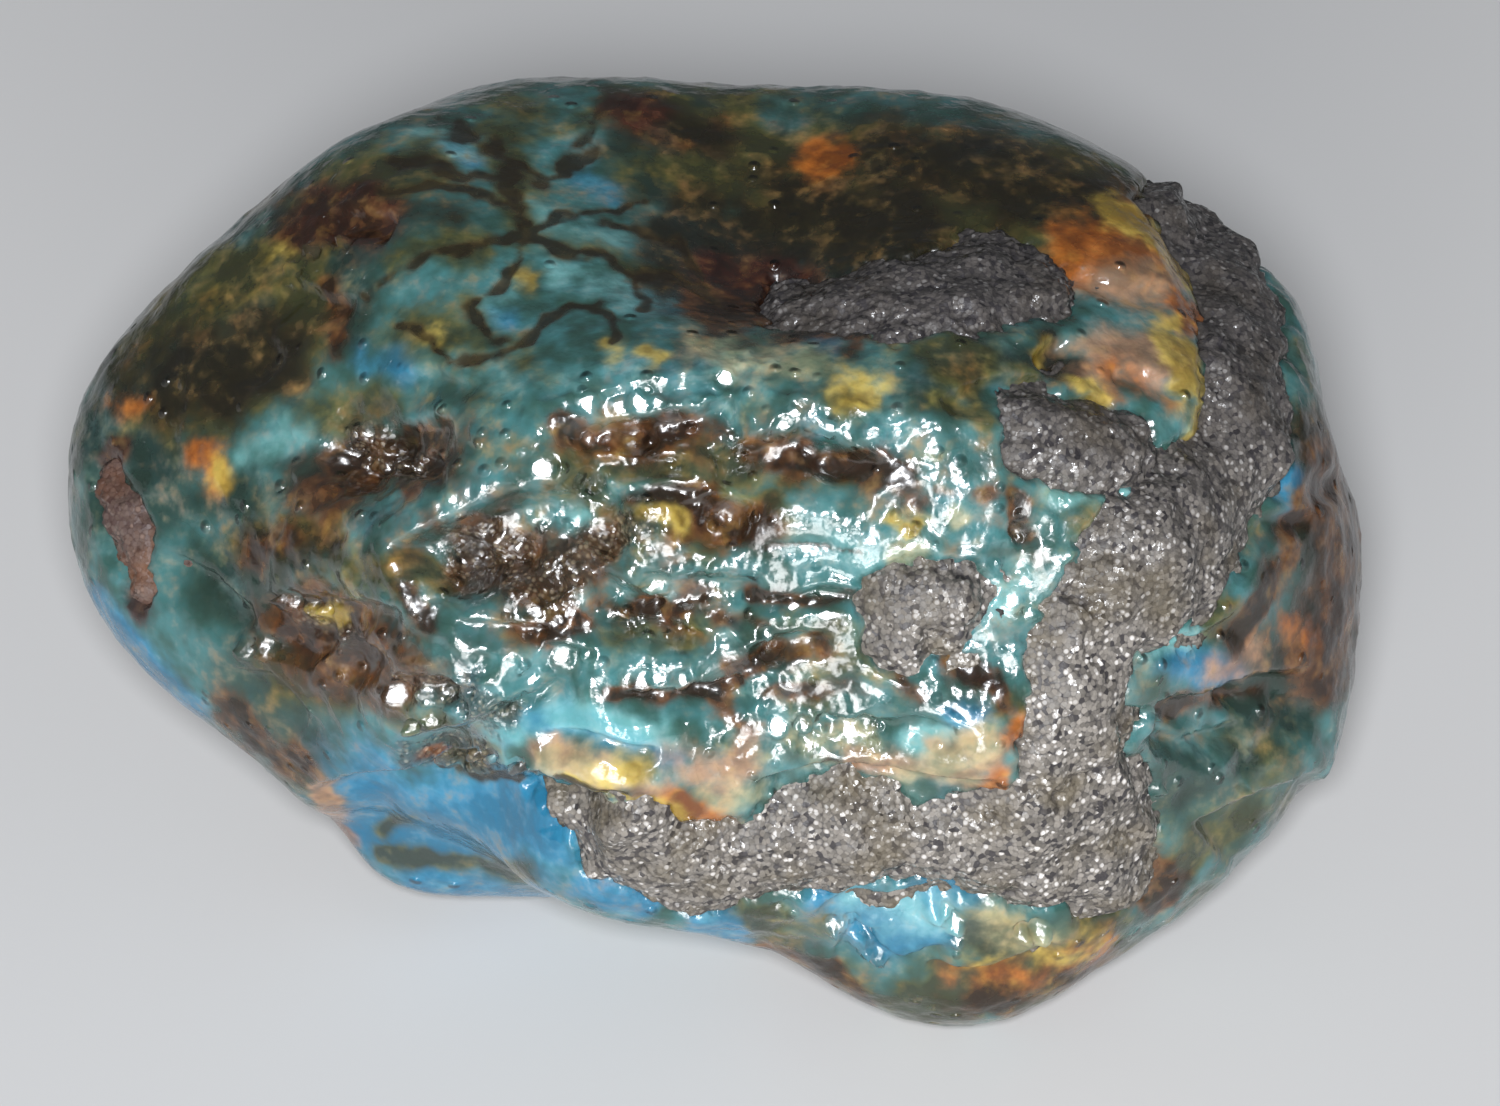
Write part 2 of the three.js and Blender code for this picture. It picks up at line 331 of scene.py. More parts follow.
@dataclass(frozen=True)
class Form:
    """The smooth form of the amber, blended from broken faces, swells and ledges.

    Attributes:
        rounding: power that blends the faces: higher is sharper.
        faces: each face's bearing round the display face and lean towards the viewer, in degrees, and its
            distance from the middle.
        undulations: length and height of the long waves over the whole lump.
        headings: heading and phase of the four crossed waves in each.
        front_blend: out places between which a form of the display side fades in.
        swells: its swells and hollows.
        ledges: its main ledges.
    """

    rounding: int = 20
    faces: tuple[tuple[float, float, float], ...] = (
        (0, 0, 28.0), (25, 0, 26.6), (57, 0, 22.2), (86, 0, 19.1), (106, 0, 21.2), (130, 0, 22.5),
        (155, 0, 26.8), (180, 0, 28.7), (-153, 0, 23.8), (-133, 0, 20.7), (-106, 0, 15.8), (-80, 0, 19.6),
        (-41, 0, 24.3), (-20, 0, 27.4),
        (90, 38, 15.4), (-90, 82, 17.0), (-86, 38, 17.4), (180, 43, 21.4), (-5, 32, 23.8), (-40, 35, 21.6),
        (-135, 35, 18.6), (135, 45, 19.0), (48, 42, 20.0),
        (90, -52, 19.8), (0, -40, 22.4), (180, -40, 21.6), (45, -40, 20.8), (135, -42, 20.4),
        (-90, -80, 17.2), (-45, -30, 21.5), (-135, -30, 18.2),
    )
    undulations: tuple[Point, ...] = ((17, 0.5), (8.5, 0.25))
    headings: tuple[tuple[float, float, float, float], ...] = (
        (0.9, 0.3, 0.3, 0.5), (-0.4, 0.85, 0.35, 2.1), (0.25, -0.4, 0.88, 4.0), (-0.7, -0.5, 0.5, 5.2),
    )
    front_blend: Point = (-1, 3)
    swells: tuple[Swell, ...] = (
        Swell("foot", (9, -15.5, 5), 6.2, 2.1),
        Swell("right lobe", (22.5, -10, 4), 4.2, 1.6),
        Swell("shoulder", (8, 6, 15), 6, 0.9),
        Swell("brow", (-2, 5, 15), 5, 0.8),
        Swell("belly", (-8, -4, 14), 6, 0.9),
        Swell("upper orange boss", (16.6, 11.4), 2.4, 1.0),
        Swell("lower orange boss", (17.2, 6.6), 2.2, 1.1),
        Swell("pale shelf", (9.6, -7.2), 2.8, 0.9),
        Swell("gold streak", (-3, -9.4), 2.4, 0.8),
        Swell("crown knob", (-12, 12.5), 3.2, 0.7),
        Swell("blue window", (-10.2, -11.4), 3.0, -1.3),
        Swell("blue lip", (-12.4, -13.6, -1), 3.4, 1.5),
        Swell("foot notch", (0.4, -16.4, 1.2), 5.2, -3.0),
        Swell("right waist", (25.5, 5, 0), 3.0, -1.2),
        Swell("left underside", (-18.8, -8.2, 0), 4.4, -1.5),
        Swell("top dip", (2, 12), 4.5, -1.0),
        Swell("left pit", (-13.5, 4.0), 2.6, -0.7),
        Swell("cheek pit", (-9.5, -0.6), 2.4, -0.7),
        Swell("lower pit", (-15, -3.4), 2.2, -0.6),
        Swell("crest hollow", (20, 13, 6), 4, -0.9),
        Swell("left cheek", (-21, -1, 9), 4.5, -0.8),
        Swell("back hollow", (6, 10, -12), 8, -1.6),
        Swell("back boss", (-10, 8, -12), 6, 1.2),
    )
    ledges: tuple[Ledge, ...] = (
        Ledge("brow", ((-6.4, 4.2), (-4.6, 4.9), (-2.6, 5.1), (-0.6, 5.3), (1, 6)), 1.3, 4),
        Ledge("eyelid", ((-0.6, 3.7), (1, 4), (3.2, 4.4), (5.4, 3.7), (6.8, 2.9)), 1.0, 3),
        Ledge("cheek", ((-13, -0.3), (-11, 0.7), (-8.4, 1.8), (-5.9, 2.2), (-5, 3.4)), 1.3, 4),
        Ledge("left brow", ((-15.8, 2.6), (-14.6, 4.2), (-12.4, 5), (-10.2, 5)), 0.8, 3.5),
        Ledge("middle", ((-4.8, -1), (-3, -1.8), (-0.6, -1.1), (2.2, -1.4)), 0.9, 3),
        Ledge("belly", ((-12.6, -7.6), (-10, -7.1), (-8.2, -6.2), (-5, -4.6)), 1.1, 3.5),
        Ledge("lip", ((-17, -10.2), (-14.4, -9.3), (-11, -9), (-7, -9), (-3.4, -9.6)), 2.0, 6),
        Ledge("chin", ((1, -9.6), (4.6, -8.8), (8.4, -9), (11.4, -9)), 1.0, 3),
        Ledge("right fold", ((17, -6.3), (19.4, -6.1), (21.6, -5.2), (23.5, -5)), 1.2, 3),
        Ledge("lower fold", ((18.4, -11), (20.6, -9.6), (23, -8.4)), 0.9, 3),
    )

    def ripple(self, places: Array, length: float) -> Array:
        """Makes crossed waves of one length.

        Args:
            places: rows of right, up and out.
            length: length of the waves, in millimetres.

        Returns:
            Their height at each place, between -1 and 1.
        """
        total = np.zeros(len(places))
        for *heading, phase in self.headings:
            total += np.sin(places @ heading * 2 * math.pi / length + phase * (1 + length))
        return total / len(self.headings)

    def front_share(self, places: Array) -> Array:
        """How much each place belongs to the display side, from 0 to 1."""
        return smooth(*self.front_blend, places[:, 2])

    def faces_reach(self, directions: Array) -> Array:
        """Measures the broken faces, blended together.

        Args:
            directions: directions from the middle, of length 1.

        Returns:
            The distance along each of them.
        """
        total = np.zeros(len(directions))
        for bearing, lean, reach in self.faces:
            around, out = math.radians(bearing), math.radians(lean)
            flat = math.cos(out)
            normal = np.array([flat * math.cos(around), flat * math.sin(around), math.sin(out)])
            total += np.maximum(0, directions @ normal / reach) ** self.rounding
        return total ** (-1 / self.rounding)

    def reach(self, directions: Array) -> Array:
        """Measures the smooth form.

        Args:
            directions: directions from the middle, of length 1.

        Returns:
            The distance along each of them.
        """
        base = self.faces_reach(directions)
        places = directions * base[:, None]
        front = self.front_share(places)
        reach = base.copy()
        for length, height in self.undulations:
            reach += height * self.ripple(places, length)
        for swell in self.swells:
            reach += swell.rise(places, front)
        for ledge in self.ledges:
            reach -= ledge.sink(places) * front
        return reach


# ---- Meshes about the middle ----


@dataclass(frozen=True)
class Geodesic:
    """Directions all round the middle and the triangles between them, gathered towards the display side.

    Attributes:
        splits: splits of each icosahedron edge.
        front_bias: how far the directions are gathered.
    """

    splits: int
    front_bias: float = 0.42

    EDGE = 2.1  # a little over the length of an icosahedron's edge

    def _corners(self) -> tuple[Array, list[tuple[int, int, int]]]:
        """Makes an icosahedron.

        Returns:
            Its corners, and its faces as their numbers, seen from outside.
        """
        golden = (1 + math.sqrt(5)) / 2
        ring = [(0, a, b * golden) for a in (-1, 1) for b in (-1, 1)]
        corners = np.array([p[k:] + p[:k] for k in range(3) for p in ring])
        faces = []
        for trio in itertools.combinations(range(len(corners)), 3):
            a, b, c = corners[list(trio)]
            sides = [np.linalg.norm(p - q) for p, q in ((a, b), (b, c), (c, a))]
            if max(sides) < self.EDGE:
                outward = np.cross(b - a, c - a) @ (a + b + c) > 0
                faces.append(trio if outward else (trio[0], trio[2], trio[1]))
        return corners, faces

    def patch(self, keep: Callable[[Array], Array] | None = None) -> tuple[Array, Array]:
        """Makes the net of directions.

        Args:
            keep: tells which directions to keep, or None for all of them.

        Returns:
            The directions, and the triangles whose corners are all kept, as rows of three numbers.
        """
        n = self.splits
        steps = np.array([(i, j) for i in range(n + 1) for j in range(n + 1 - i)])
        number = {tuple(step): index for index, step in enumerate(steps.tolist())}
        upright = [(number[i, j], number[i + 1, j], number[i, j + 1]) for i, j in number if i + j < n]
        turned = [
            (number[i + 1, j], number[i + 1, j + 1], number[i, j + 1]) for i, j in number if i + j < n - 1
        ]
        small = np.array(upright + turned)
        corners, faces = self._corners()
        places, triangles = [], []
        for a, b, c in faces:
            part = corners[a] + (steps @ np.stack([corners[b] - corners[a], corners[c] - corners[a]])) / n
            part = unit(part)
            part[:, 2] += self.front_bias
            part = unit(part)
            chosen = small
            if keep is not None:
                kept = keep(part)
                chosen = small[kept[small].all(axis=1)]
            triangles.append(chosen + sum(map(len, places)))
            places.append(part)
        return merged(np.concatenate(places), np.concatenate(triangles))


def merged(places: Array, triangles: Array) -> tuple[Array, Array]:
    """Joins corners that lie on each other and drops the ones that no triangle uses.

    Args:
        places: corners.
        triangles: rows of three corner numbers.

    Returns:
        The corners and triangles that are left.
    """
    decimals = 7
    used, index = np.unique(triangles, return_inverse=True)
    rounded = np.round(places[used], decimals)
    _, first, same = np.unique(rounded, axis=0, return_index=True, return_inverse=True)
    return places[used][first], same.reshape(-1)[index].reshape(-1, 3)


def dress(piece: bpy.types.Object, material: bpy.types.Material, node: str) -> None:
    """Gives a piece its finish and puts it in the place of a solid.

    Args:
        piece: the piece.
        material: its finish.
        node: the solid that it stands for.
    """
    piece.data.materials.append(material)
    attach(piece, "root")
    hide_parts(node)


def placed(name: str, data: bpy.types.ID) -> bpy.types.Object:
    """Adds an object to the scene.

    Args:
        name: the object's name.
        data: its mesh, light or camera.

    Returns:
        The object.
    """
    added = bpy.data.objects.new(name, data)
    bpy.context.scene.collection.objects.link(added)
    return added


def new_piece(name: str, places: Array, triangles: Array, fields: Mapping[str, Array]) -> bpy.types.Object:
    """Makes a smooth-shaded mesh object.

    Args:
        name: the piece's name.
        places: corners in the row frame, in millimetres.
        triangles: rows of three corner numbers.
        fields: values at the corners that the finish reads, by name.

    Returns:
        The new object, linked to the scene.
    """
    mesh = bpy.data.meshes.new(name)
    mesh.from_pydata((places * MM).tolist(), [], triangles.tolist())
    mesh.polygons.foreach_set("use_smooth", [True] * len(triangles))
    for field_name, values in fields.items():
        layer = mesh.attributes.new(field_name, "FLOAT", "POINT")
        layer.data.foreach_set("value", values.astype(np.float32))
    mesh.update()
    return placed(name, mesh)


def closed_shell(top: Array, bottom: Array, triangles: Array) -> tuple[Array, Array]:
    """Closes a sheet of triangles into a shell.

    Args:
        top: outer corners.
        bottom: inner corners, in the same order.
        triangles: the sheet's triangles, seen from outside.

    Returns:
        The shell's corners and triangles.
    """
    count = len(top)
    edges = np.concatenate([triangles[:, [0, 1]], triangles[:, [1, 2]], triangles[:, [2, 0]]])
    keys = edges[:, 0] * count + edges[:, 1]
    lone = edges[~np.isin(keys, edges[:, 1] * count + edges[:, 0])]
    start, end = lone.T
    rim = np.concatenate([
        np.stack([start, start + count, end], axis=1),
        np.stack([end, start + count, end + count], axis=1),
    ])
    return np.concatenate([top, bottom]), np.concatenate([triangles, triangles[:, ::-1] + count, rim])


# ---- Shader expressions ----


@dataclass(frozen=True)
class Wire:
    """An output socket that can be used in sums."""

    shader: Shader
    socket: bpy.types.NodeSocket

    def _math(self, operation: str, *values: Wire | float) -> Wire:
        """Adds a Math node."""
        return self.shader.node("Math", {"operation": operation}, dict(enumerate(values)))

    def __add__(self, other: Wire | float) -> Wire:
        """Adds."""
        return self._math("ADD", self, other)

    __radd__ = __add__

    def __sub__(self, other: Wire | float) -> Wire:
        """Takes away."""
        return self._math("SUBTRACT", self, other)

    def __rsub__(self, other: Wire | float) -> Wire:
        """Takes this away from another."""
        return self._math("SUBTRACT", other, self)

    def __mul__(self, other: Wire | float) -> Wire:
        """Multiplies."""
        return self._math("MULTIPLY", self, other)

    __rmul__ = __mul__

    def beside(self, output: str) -> Wire:
        """Another output of the same node."""
        return Wire(self.shader, self.socket.node.outputs[output])

    def rise(self, low: float, high: float) -> Wire:
        """Rises smoothly from 0 at low to 1 at high."""
        settings = {"interpolation_type": "SMOOTHSTEP"}
        return self.shader.node("MapRange", settings, {"Value": self, "From Min": low, "From Max": high})


class Shader:
    """The nodes of one material."""

    def __init__(self, name: str) -> None:
        """Starts an empty material.

        Args:
            name: name of the material.
        """
        self.material = bpy.data.materials.new(name)
        self.material.use_nodes = True
        self.tree = self.material.node_tree
        self.tree.nodes.clear()
        millimetres = {0: self.node("TexCoord", {}, {}, "Object"), 1: (1 / MM,) * 3}
        self.places = self.node("VectorMath", {"operation": "MULTIPLY"}, millimetres)

    def _add(
        self,
        kind: str,
        settings: Mapping[str, object],
        sockets: Mapping[str | int, object],
    ) -> bpy.types.Node:
        """Adds a node.

        Args:
            kind: the node's type, without the words that all types start with.
            settings: the node's settings, which are set first.
            sockets: values or wires for the node's inputs.

        Returns:
            The node.
        """
        made = self.tree.nodes.new(f"ShaderNode{kind}")
        for name, value in settings.items():
            setattr(made, name, value)
        for name, value in sockets.items():
            socket = made.inputs[name]
            if isinstance(value, Wire):
                self.tree.links.new(value.socket, socket)
            elif socket.type == "RGBA":
                socket.default_value = (*value, 1)
            else:
                socket.default_value = value
        return made

    def node(
        self,
        kind: str,
        settings: Mapping[str, object],
        sockets: Mapping[str | int, object],
        output: str | int = 0,
    ) -> Wire:
        """Adds a node.

        Args:
            kind: the node's type, without the words that all types start with.
            settings: the node's settings, which are set first.
            sockets: values or wires for the node's inputs.
            output: the output that is wanted.

        Returns:
            A wire from that output.
        """
        return Wire(self, self._add(kind, settings, sockets).outputs[output])

    def field(self, name: str) -> Wire:
        """A value that the mesh holds at its corners."""
        return self.node("Attribute", {"attribute_name": name}, {}, "Fac")

    def noise(self, size: float, detail: float = 3) -> Wire:
        """Soft noise around zero, with waves of a size in millimetres."""
        sockets = {"Vector": self.places, "Scale": 1 / size, "Detail": detail}
        return self.node("TexNoise", {}, sockets, "Fac") - 0.5

    def cells(self, size: float, output: str = "Distance") -> Wire:
        """Scattered cells of a size in millimetres."""
        return self.node("TexVoronoi", {}, {"Vector": self.places, "Scale": 1 / size}, output)

    def mix(self, share: Wire | float, first: Wire | Colour, second: Wire | Colour) -> Wire:
        """Blends two colours. A Mix node numbers its sockets, and its colours' are 6 and 7 in and 2 out."""
        return self.node("Mix", {"data_type": "RGBA"}, {0: share, 6: first, 7: second}, 2)

    def facets(self, colour: Wire) -> Wire:
        """Makes small flat facets.

        Args:
            colour: the colour output of some cells.

        Returns:
            The height, with a slope for each cell that comes from its colour.
        """
        pull = self.node("VectorMath", {"operation": "SUBTRACT"}, {0: colour, 1: (0.5, 0.5, 0.5)})
        seed = colour.beside("Position")
        offset = self.node("VectorMath", {"operation": "SUBTRACT"}, {0: self.places, 1: seed})
        height = self.node("VectorMath", {"operation": "DOT_PRODUCT"}, {0: pull, 1: offset}, "Value")
        return height * 2

    def bump(self, height: Wire) -> Wire:
        """Tilts the surface by a height in millimetres."""
        return self.node("Bump", {}, {"Strength": 1, "Distance": MM, "Height": height})

    def finish(self, surface: Wire, volume: Wire | None = None) -> bpy.types.Material:
        """Closes the material with its output.

        Args:
            surface: how its surface looks.
            volume: what fills it, or None.

        Returns:
            The material.
        """
        sockets = {"Surface": surface} if volume is None else {"Surface": surface, "Volume": volume}
        self._add("OutputMaterial", {}, sockets)
        return self.material


class Tint(Enum):
    """Colours that lie on the amber's teal, each the name of a field of the amber's mesh."""

    # painted shade over the top, the left end and the right rim, where the light falls away, and darker
    # amber elsewhere
    PAINTED_SHADE_AND_DARK_TONE = "shade"
    BLUE = "blue"
    PALE = "pale"
    OLIVE = "olive"
    RIND = "rind"
    UMBER = "umber"
    MAROON = "maroon"
    RUST = "rust"
    GOLD = "gold"
    PINK = "pink"
    PEARL = "pearl"
    GRIT = "grit"
    CRACK = "crack"


@dataclass(frozen=True)
class TintLook:
    """How a tint lies on the teal.

    Attributes:
        light: the tint where it is bright.
        dark: the tint where it is dull.
        softness: width of its edge.
        cover: share of the colour below that it hides.
    """

    light: Colour
    dark: Colour
    softness: float = 0.25
    cover: float = 0.9


@dataclass(frozen=True)
class AmberFinish:
    """Blue amber: glossy, a little see-through, teal with mottled tints.

    Attributes:
        teals: the body's colours from dark to light.
        looks: how each tint looks, in the order they cover each other.
        ior: refractive index of amber.
        transmission: share of light that goes into the amber.
        absorption: colour of the light that comes through.
        absorption_density: how fast light is lost, in each metre.
        gloss: roughness of the clean surface, and of the rind.
        coat: how wet the broken surface is, how wet the rest is, and the roughness of the wet skin.
        glow: share of the light that spreads below the surface, and how far it spreads, in metres.
        glow_reach: how far each of the three colours spreads, as shares of that.
        beads: size and height of the little beads on the skin.
        flakes: height of the flakes of the broken surface, which are as wide as the beads.
        waves: size and height of the skin's waves.
        grains: size and height of the grains where grit lies.
    """

    teals: tuple[Colour, ...] = (linear(50, 82, 74), linear(68, 120, 122), linear(112, 162, 168))
    looks: Mapping[Tint, TintLook] = field(default_factory=lambda: {
        # painted shade and darker amber
        Tint.PAINTED_SHADE_AND_DARK_TONE: TintLook(linear(56, 72, 56), linear(30, 42, 34), 0.5, 0.85),
        Tint.BLUE: TintLook(linear(52, 142, 184), linear(32, 108, 144), 0.5, 0.85),
        Tint.PALE: TintLook(linear(150, 202, 202), linear(114, 176, 174), 0.5, 0.7),
        Tint.OLIVE: TintLook(linear(102, 98, 44), linear(54, 54, 28), 0.5, 0.88),
        Tint.UMBER: TintLook(linear(54, 42, 22), linear(28, 22, 13), 0.5, 0.9),
        Tint.MAROON: TintLook(linear(76, 34, 24), linear(40, 19, 14), 0.45, 0.9),
        Tint.RIND: TintLook(linear(104, 60, 22), linear(40, 22, 9), 0.5, 0.92),
        Tint.PINK: TintLook(linear(190, 144, 110), linear(132, 98, 74), 0.5, 0.8),
        Tint.PEARL: TintLook(linear(214, 196, 148), linear(146, 150, 116), 0.5, 0.6),
        Tint.RUST: TintLook(linear(190, 108, 36), linear(116, 62, 20), 0.5, 0.9),
        Tint.GOLD: TintLook(linear(212, 188, 92), linear(150, 124, 48), 0.5, 0.8),
        Tint.GRIT: TintLook(linear(140, 126, 104), linear(56, 40, 24), 0.4, 0.6),
        Tint.CRACK: TintLook(linear(66, 54, 30), linear(36, 28, 15), 0.5, 0.9),
    })
    ior: float = 1.54
    transmission: float = 0.2
    absorption: Colour = linear(60, 150, 140)
    absorption_density: float = 350.0
    gloss: tuple[float, float] = (0.16, 0.26)
    coat: tuple[float, float, float] = (0.85, 0.04, 0.15)
    glow: tuple[float, float] = (0.25, 0.0012)
    glow_reach: Colour = (0.6, 1.0, 0.9)
    beads: Point = (0.8, 0.24)
    flakes: float = 0.12
    waves: Point = (1.2, 0.16)
    grains: Point = (0.2, 0.5)

    def material(self, name: str) -> bpy.types.Material:
        """Makes the material.

        Args:
            name: name of the material.

        Returns:
            The material.
        """
        shader = Shader(name)
        colour, rough = self._colour(shader)
        size, height = self.beads
        scattered = shader.cells(size, "Color")
        chance = shader.node("SeparateColor", {}, {0: scattered})
        clean, dull = self.gloss
        wet, damp, skin = self.coat
        glowing, spread = self.glow
        flat = shader.field("flat")
        broken = shader.field("broken") * (1 - flat)
        beads = (chance + broken * 0.5).rise(0.94, 0.98) * scattered.beside("Distance").rise(0.38, 0)
        patches = shader.noise(2.2, 2).rise(-0.1, 0.15) * 0.06
        relief = self._skin(shader) + shader.facets(scattered) * broken * self.flakes + beads * height
        surface = shader.node("BsdfPrincipled", {}, {
            "Base Color": colour,
            "Roughness": rough.rise(0, 1.2) * (dull - clean) + clean + patches - beads * 0.08,
            "IOR": self.ior,
            "Transmission Weight": self.transmission,
            "Subsurface Weight": glowing,
            "Subsurface Scale": spread,
            "Subsurface Radius": self.glow_reach,
            "Coat Weight": (broken.rise(0.1, 0.9) + flat) * wet + damp,
            "Coat Roughness": skin,
            "Normal": shader.bump(relief),
        })
        volume = shader.node("VolumeAbsorption", {}, {
            "Color": self.absorption, "Density": self.absorption_density,
        })
        return shader.finish(surface, volume)

    def _colour(self, shader: Shader) -> tuple[Wire, Wire]:
        """Lays the tints on the teal.

        Args:
            shader: the material's nodes.

        Returns:
            The colour, and how much of the surface is rind, grit, crack or umber.
        """
        middle = shader.noise(1.6, 2)
        fine = shader.noise(0.45, 2)
        grains = shader.cells(0.28)
        deep, body, light = self.teals
        breakup = middle * 0.5 + fine * 0.35
        colour = shader.mix(middle.rise(-0.2, 0.12), deep, body)
        colour = shader.mix(breakup.rise(0.0, 0.22) * 0.45, colour, light)
        tone = (middle + fine * 0.5).rise(-0.25, 0.25)
        rough = 0.0
        for tint, look in self.looks.items():
            edge = shader.field(tint.value) + breakup
            share = edge.rise(0.5 - look.softness, 0.5 + look.softness) * look.cover
            own_tone = grains.rise(0.5, 0.12) if tint is Tint.GRIT else tone - edge.rise(0.6, 1.3) * 0.5
            colour = shader.mix(share, colour, shader.mix(own_tone, look.dark, look.light))
            if tint in (Tint.RIND, Tint.GRIT, Tint.CRACK, Tint.UMBER):
                rough = share + rough
        return colour, rough

    def _skin(self, shader: Shader) -> Wire:
        """Makes the skin's waves and grains.

        Args:
            shader: the material's nodes.

        Returns:
            Their height in millimetres.
        """
        size, height = self.grains
        grains = shader.facets(shader.cells(size, "Color")) * shader.field("grit").rise(0.1, 0.7) * height
        length, rise = self.waves
        return shader.noise(length, 3) * rise + grains


@dataclass(frozen=True)
class SandstoneFinish:
    """Gritty sandstone, damp enough to glisten.

    Attributes:
        base: the stone between its grains.
        grain: the common grains.
        pale: the pale grains.
        dark: the dark grains, and the painted shade in the gaps between grains, in the hollows and towards
            the top.
        stain: the colour that stains it in patches.
        stained: share of the surface that the stain takes.
        roughness: roughness of the stone, and of a grain's bright facet.
        grit: size and height of the grains.
        lumps: size and height of the small lumps.
    """

    base: Colour = linear(92, 87, 81)
    grain: Colour = linear(126, 120, 113)
    pale: Colour = linear(184, 180, 176)
    dark: Colour = linear(44, 41, 44)
    stain: Colour = linear(92, 82, 62)
    stained: float = 0.2
    roughness: tuple[float, float] = (0.55, 0.2)
    grit: Point = (0.2, 0.3)
    lumps: Point = (0.7, 0.1)

    def material(self, name: str) -> bpy.types.Material:
        """Makes the material.

        Args:
            name: name of the material.

        Returns:
            The material.
        """
        shader = Shader(name)
        size, height = self.grit
        broad = shader.noise(2.6, 3)
        fine = shader.noise(0.1, 2)
        grains = shader.cells(size)
        scattered = grains.beside("Color")
        pick = shader.node("SeparateColor", {}, {0: scattered})
        colour = shader.mix(pick.rise(0.2, 0.8), self.base, self.grain)
        layers = [
            (pick.rise(0.84, 0.9) * grains.rise(0.6, 0.3), self.pale),
            (pick.rise(0.16, 0.1) * 0.85, self.dark),
            # painted shade in the gaps between the grains
            (grains.rise(0.55, 0.85) * 0.6, self.dark),
            ((broad + self.stained * 0.3).rise(0.0, 0.25) * 0.6, self.stain),
            # painted shade: darker in the low places between the lumps of grains and in the dents
            (shader.field("hollow").rise(0.3, 1.0) * 0.6, self.dark),
            # painted shade: the stone darkens towards its top, where less light reaches it
            (shader.field("painted_shade") * 0.7, self.dark),
        ]
        for share, over in layers:
            colour = shader.mix(share, colour, over)
        stone, facet = self.roughness
        bright = (pick + broad * 0.9).rise(0.5, 0.56)
        length, rise = self.lumps
        relief = shader.facets(scattered) * height + fine * 0.02 + shader.noise(length, 3) * rise
        surface = shader.node("BsdfPrincipled", {}, {
            "Base Color": colour,
            "Roughness": stone - bright * (stone - facet) + fine * 0.16,
            "Normal": shader.bump(relief),
        })
        return shader.finish(surface)


# ---- The amber ----


@dataclass(frozen=True)
class Stroke:
    """A streak, spot or dab on the display side.

    Attributes:
        line: its points, right and up.
        width: half its width.
        strength: how strongly it shows.
    """

    line: tuple[Point, ...]
    width: float
    strength: float = 1.0

    def cover(self, places: Array) -> Array:
        """How much of the stroke lies at each place: half its strength at its edge."""
        below, _ = beside_line(self.line, places)
        return self.strength * 0.5 ** ((below / self.width) ** 2)


def covered(strokes: Sequence[Stroke], places: Array) -> Array:
    """The strongest of some strokes at each place."""
    return np.max([stroke.cover(places) for stroke in strokes], axis=0)


@dataclass(frozen=True)
class Mottle:
    """How a tint breaks up.

    Attributes:
        size: size of its mottling in millimetres.
        within: how strong the mottling is inside a stroke.
        beyond: how strong it is everywhere.
    """

    size: float
    within: float
    beyond: float


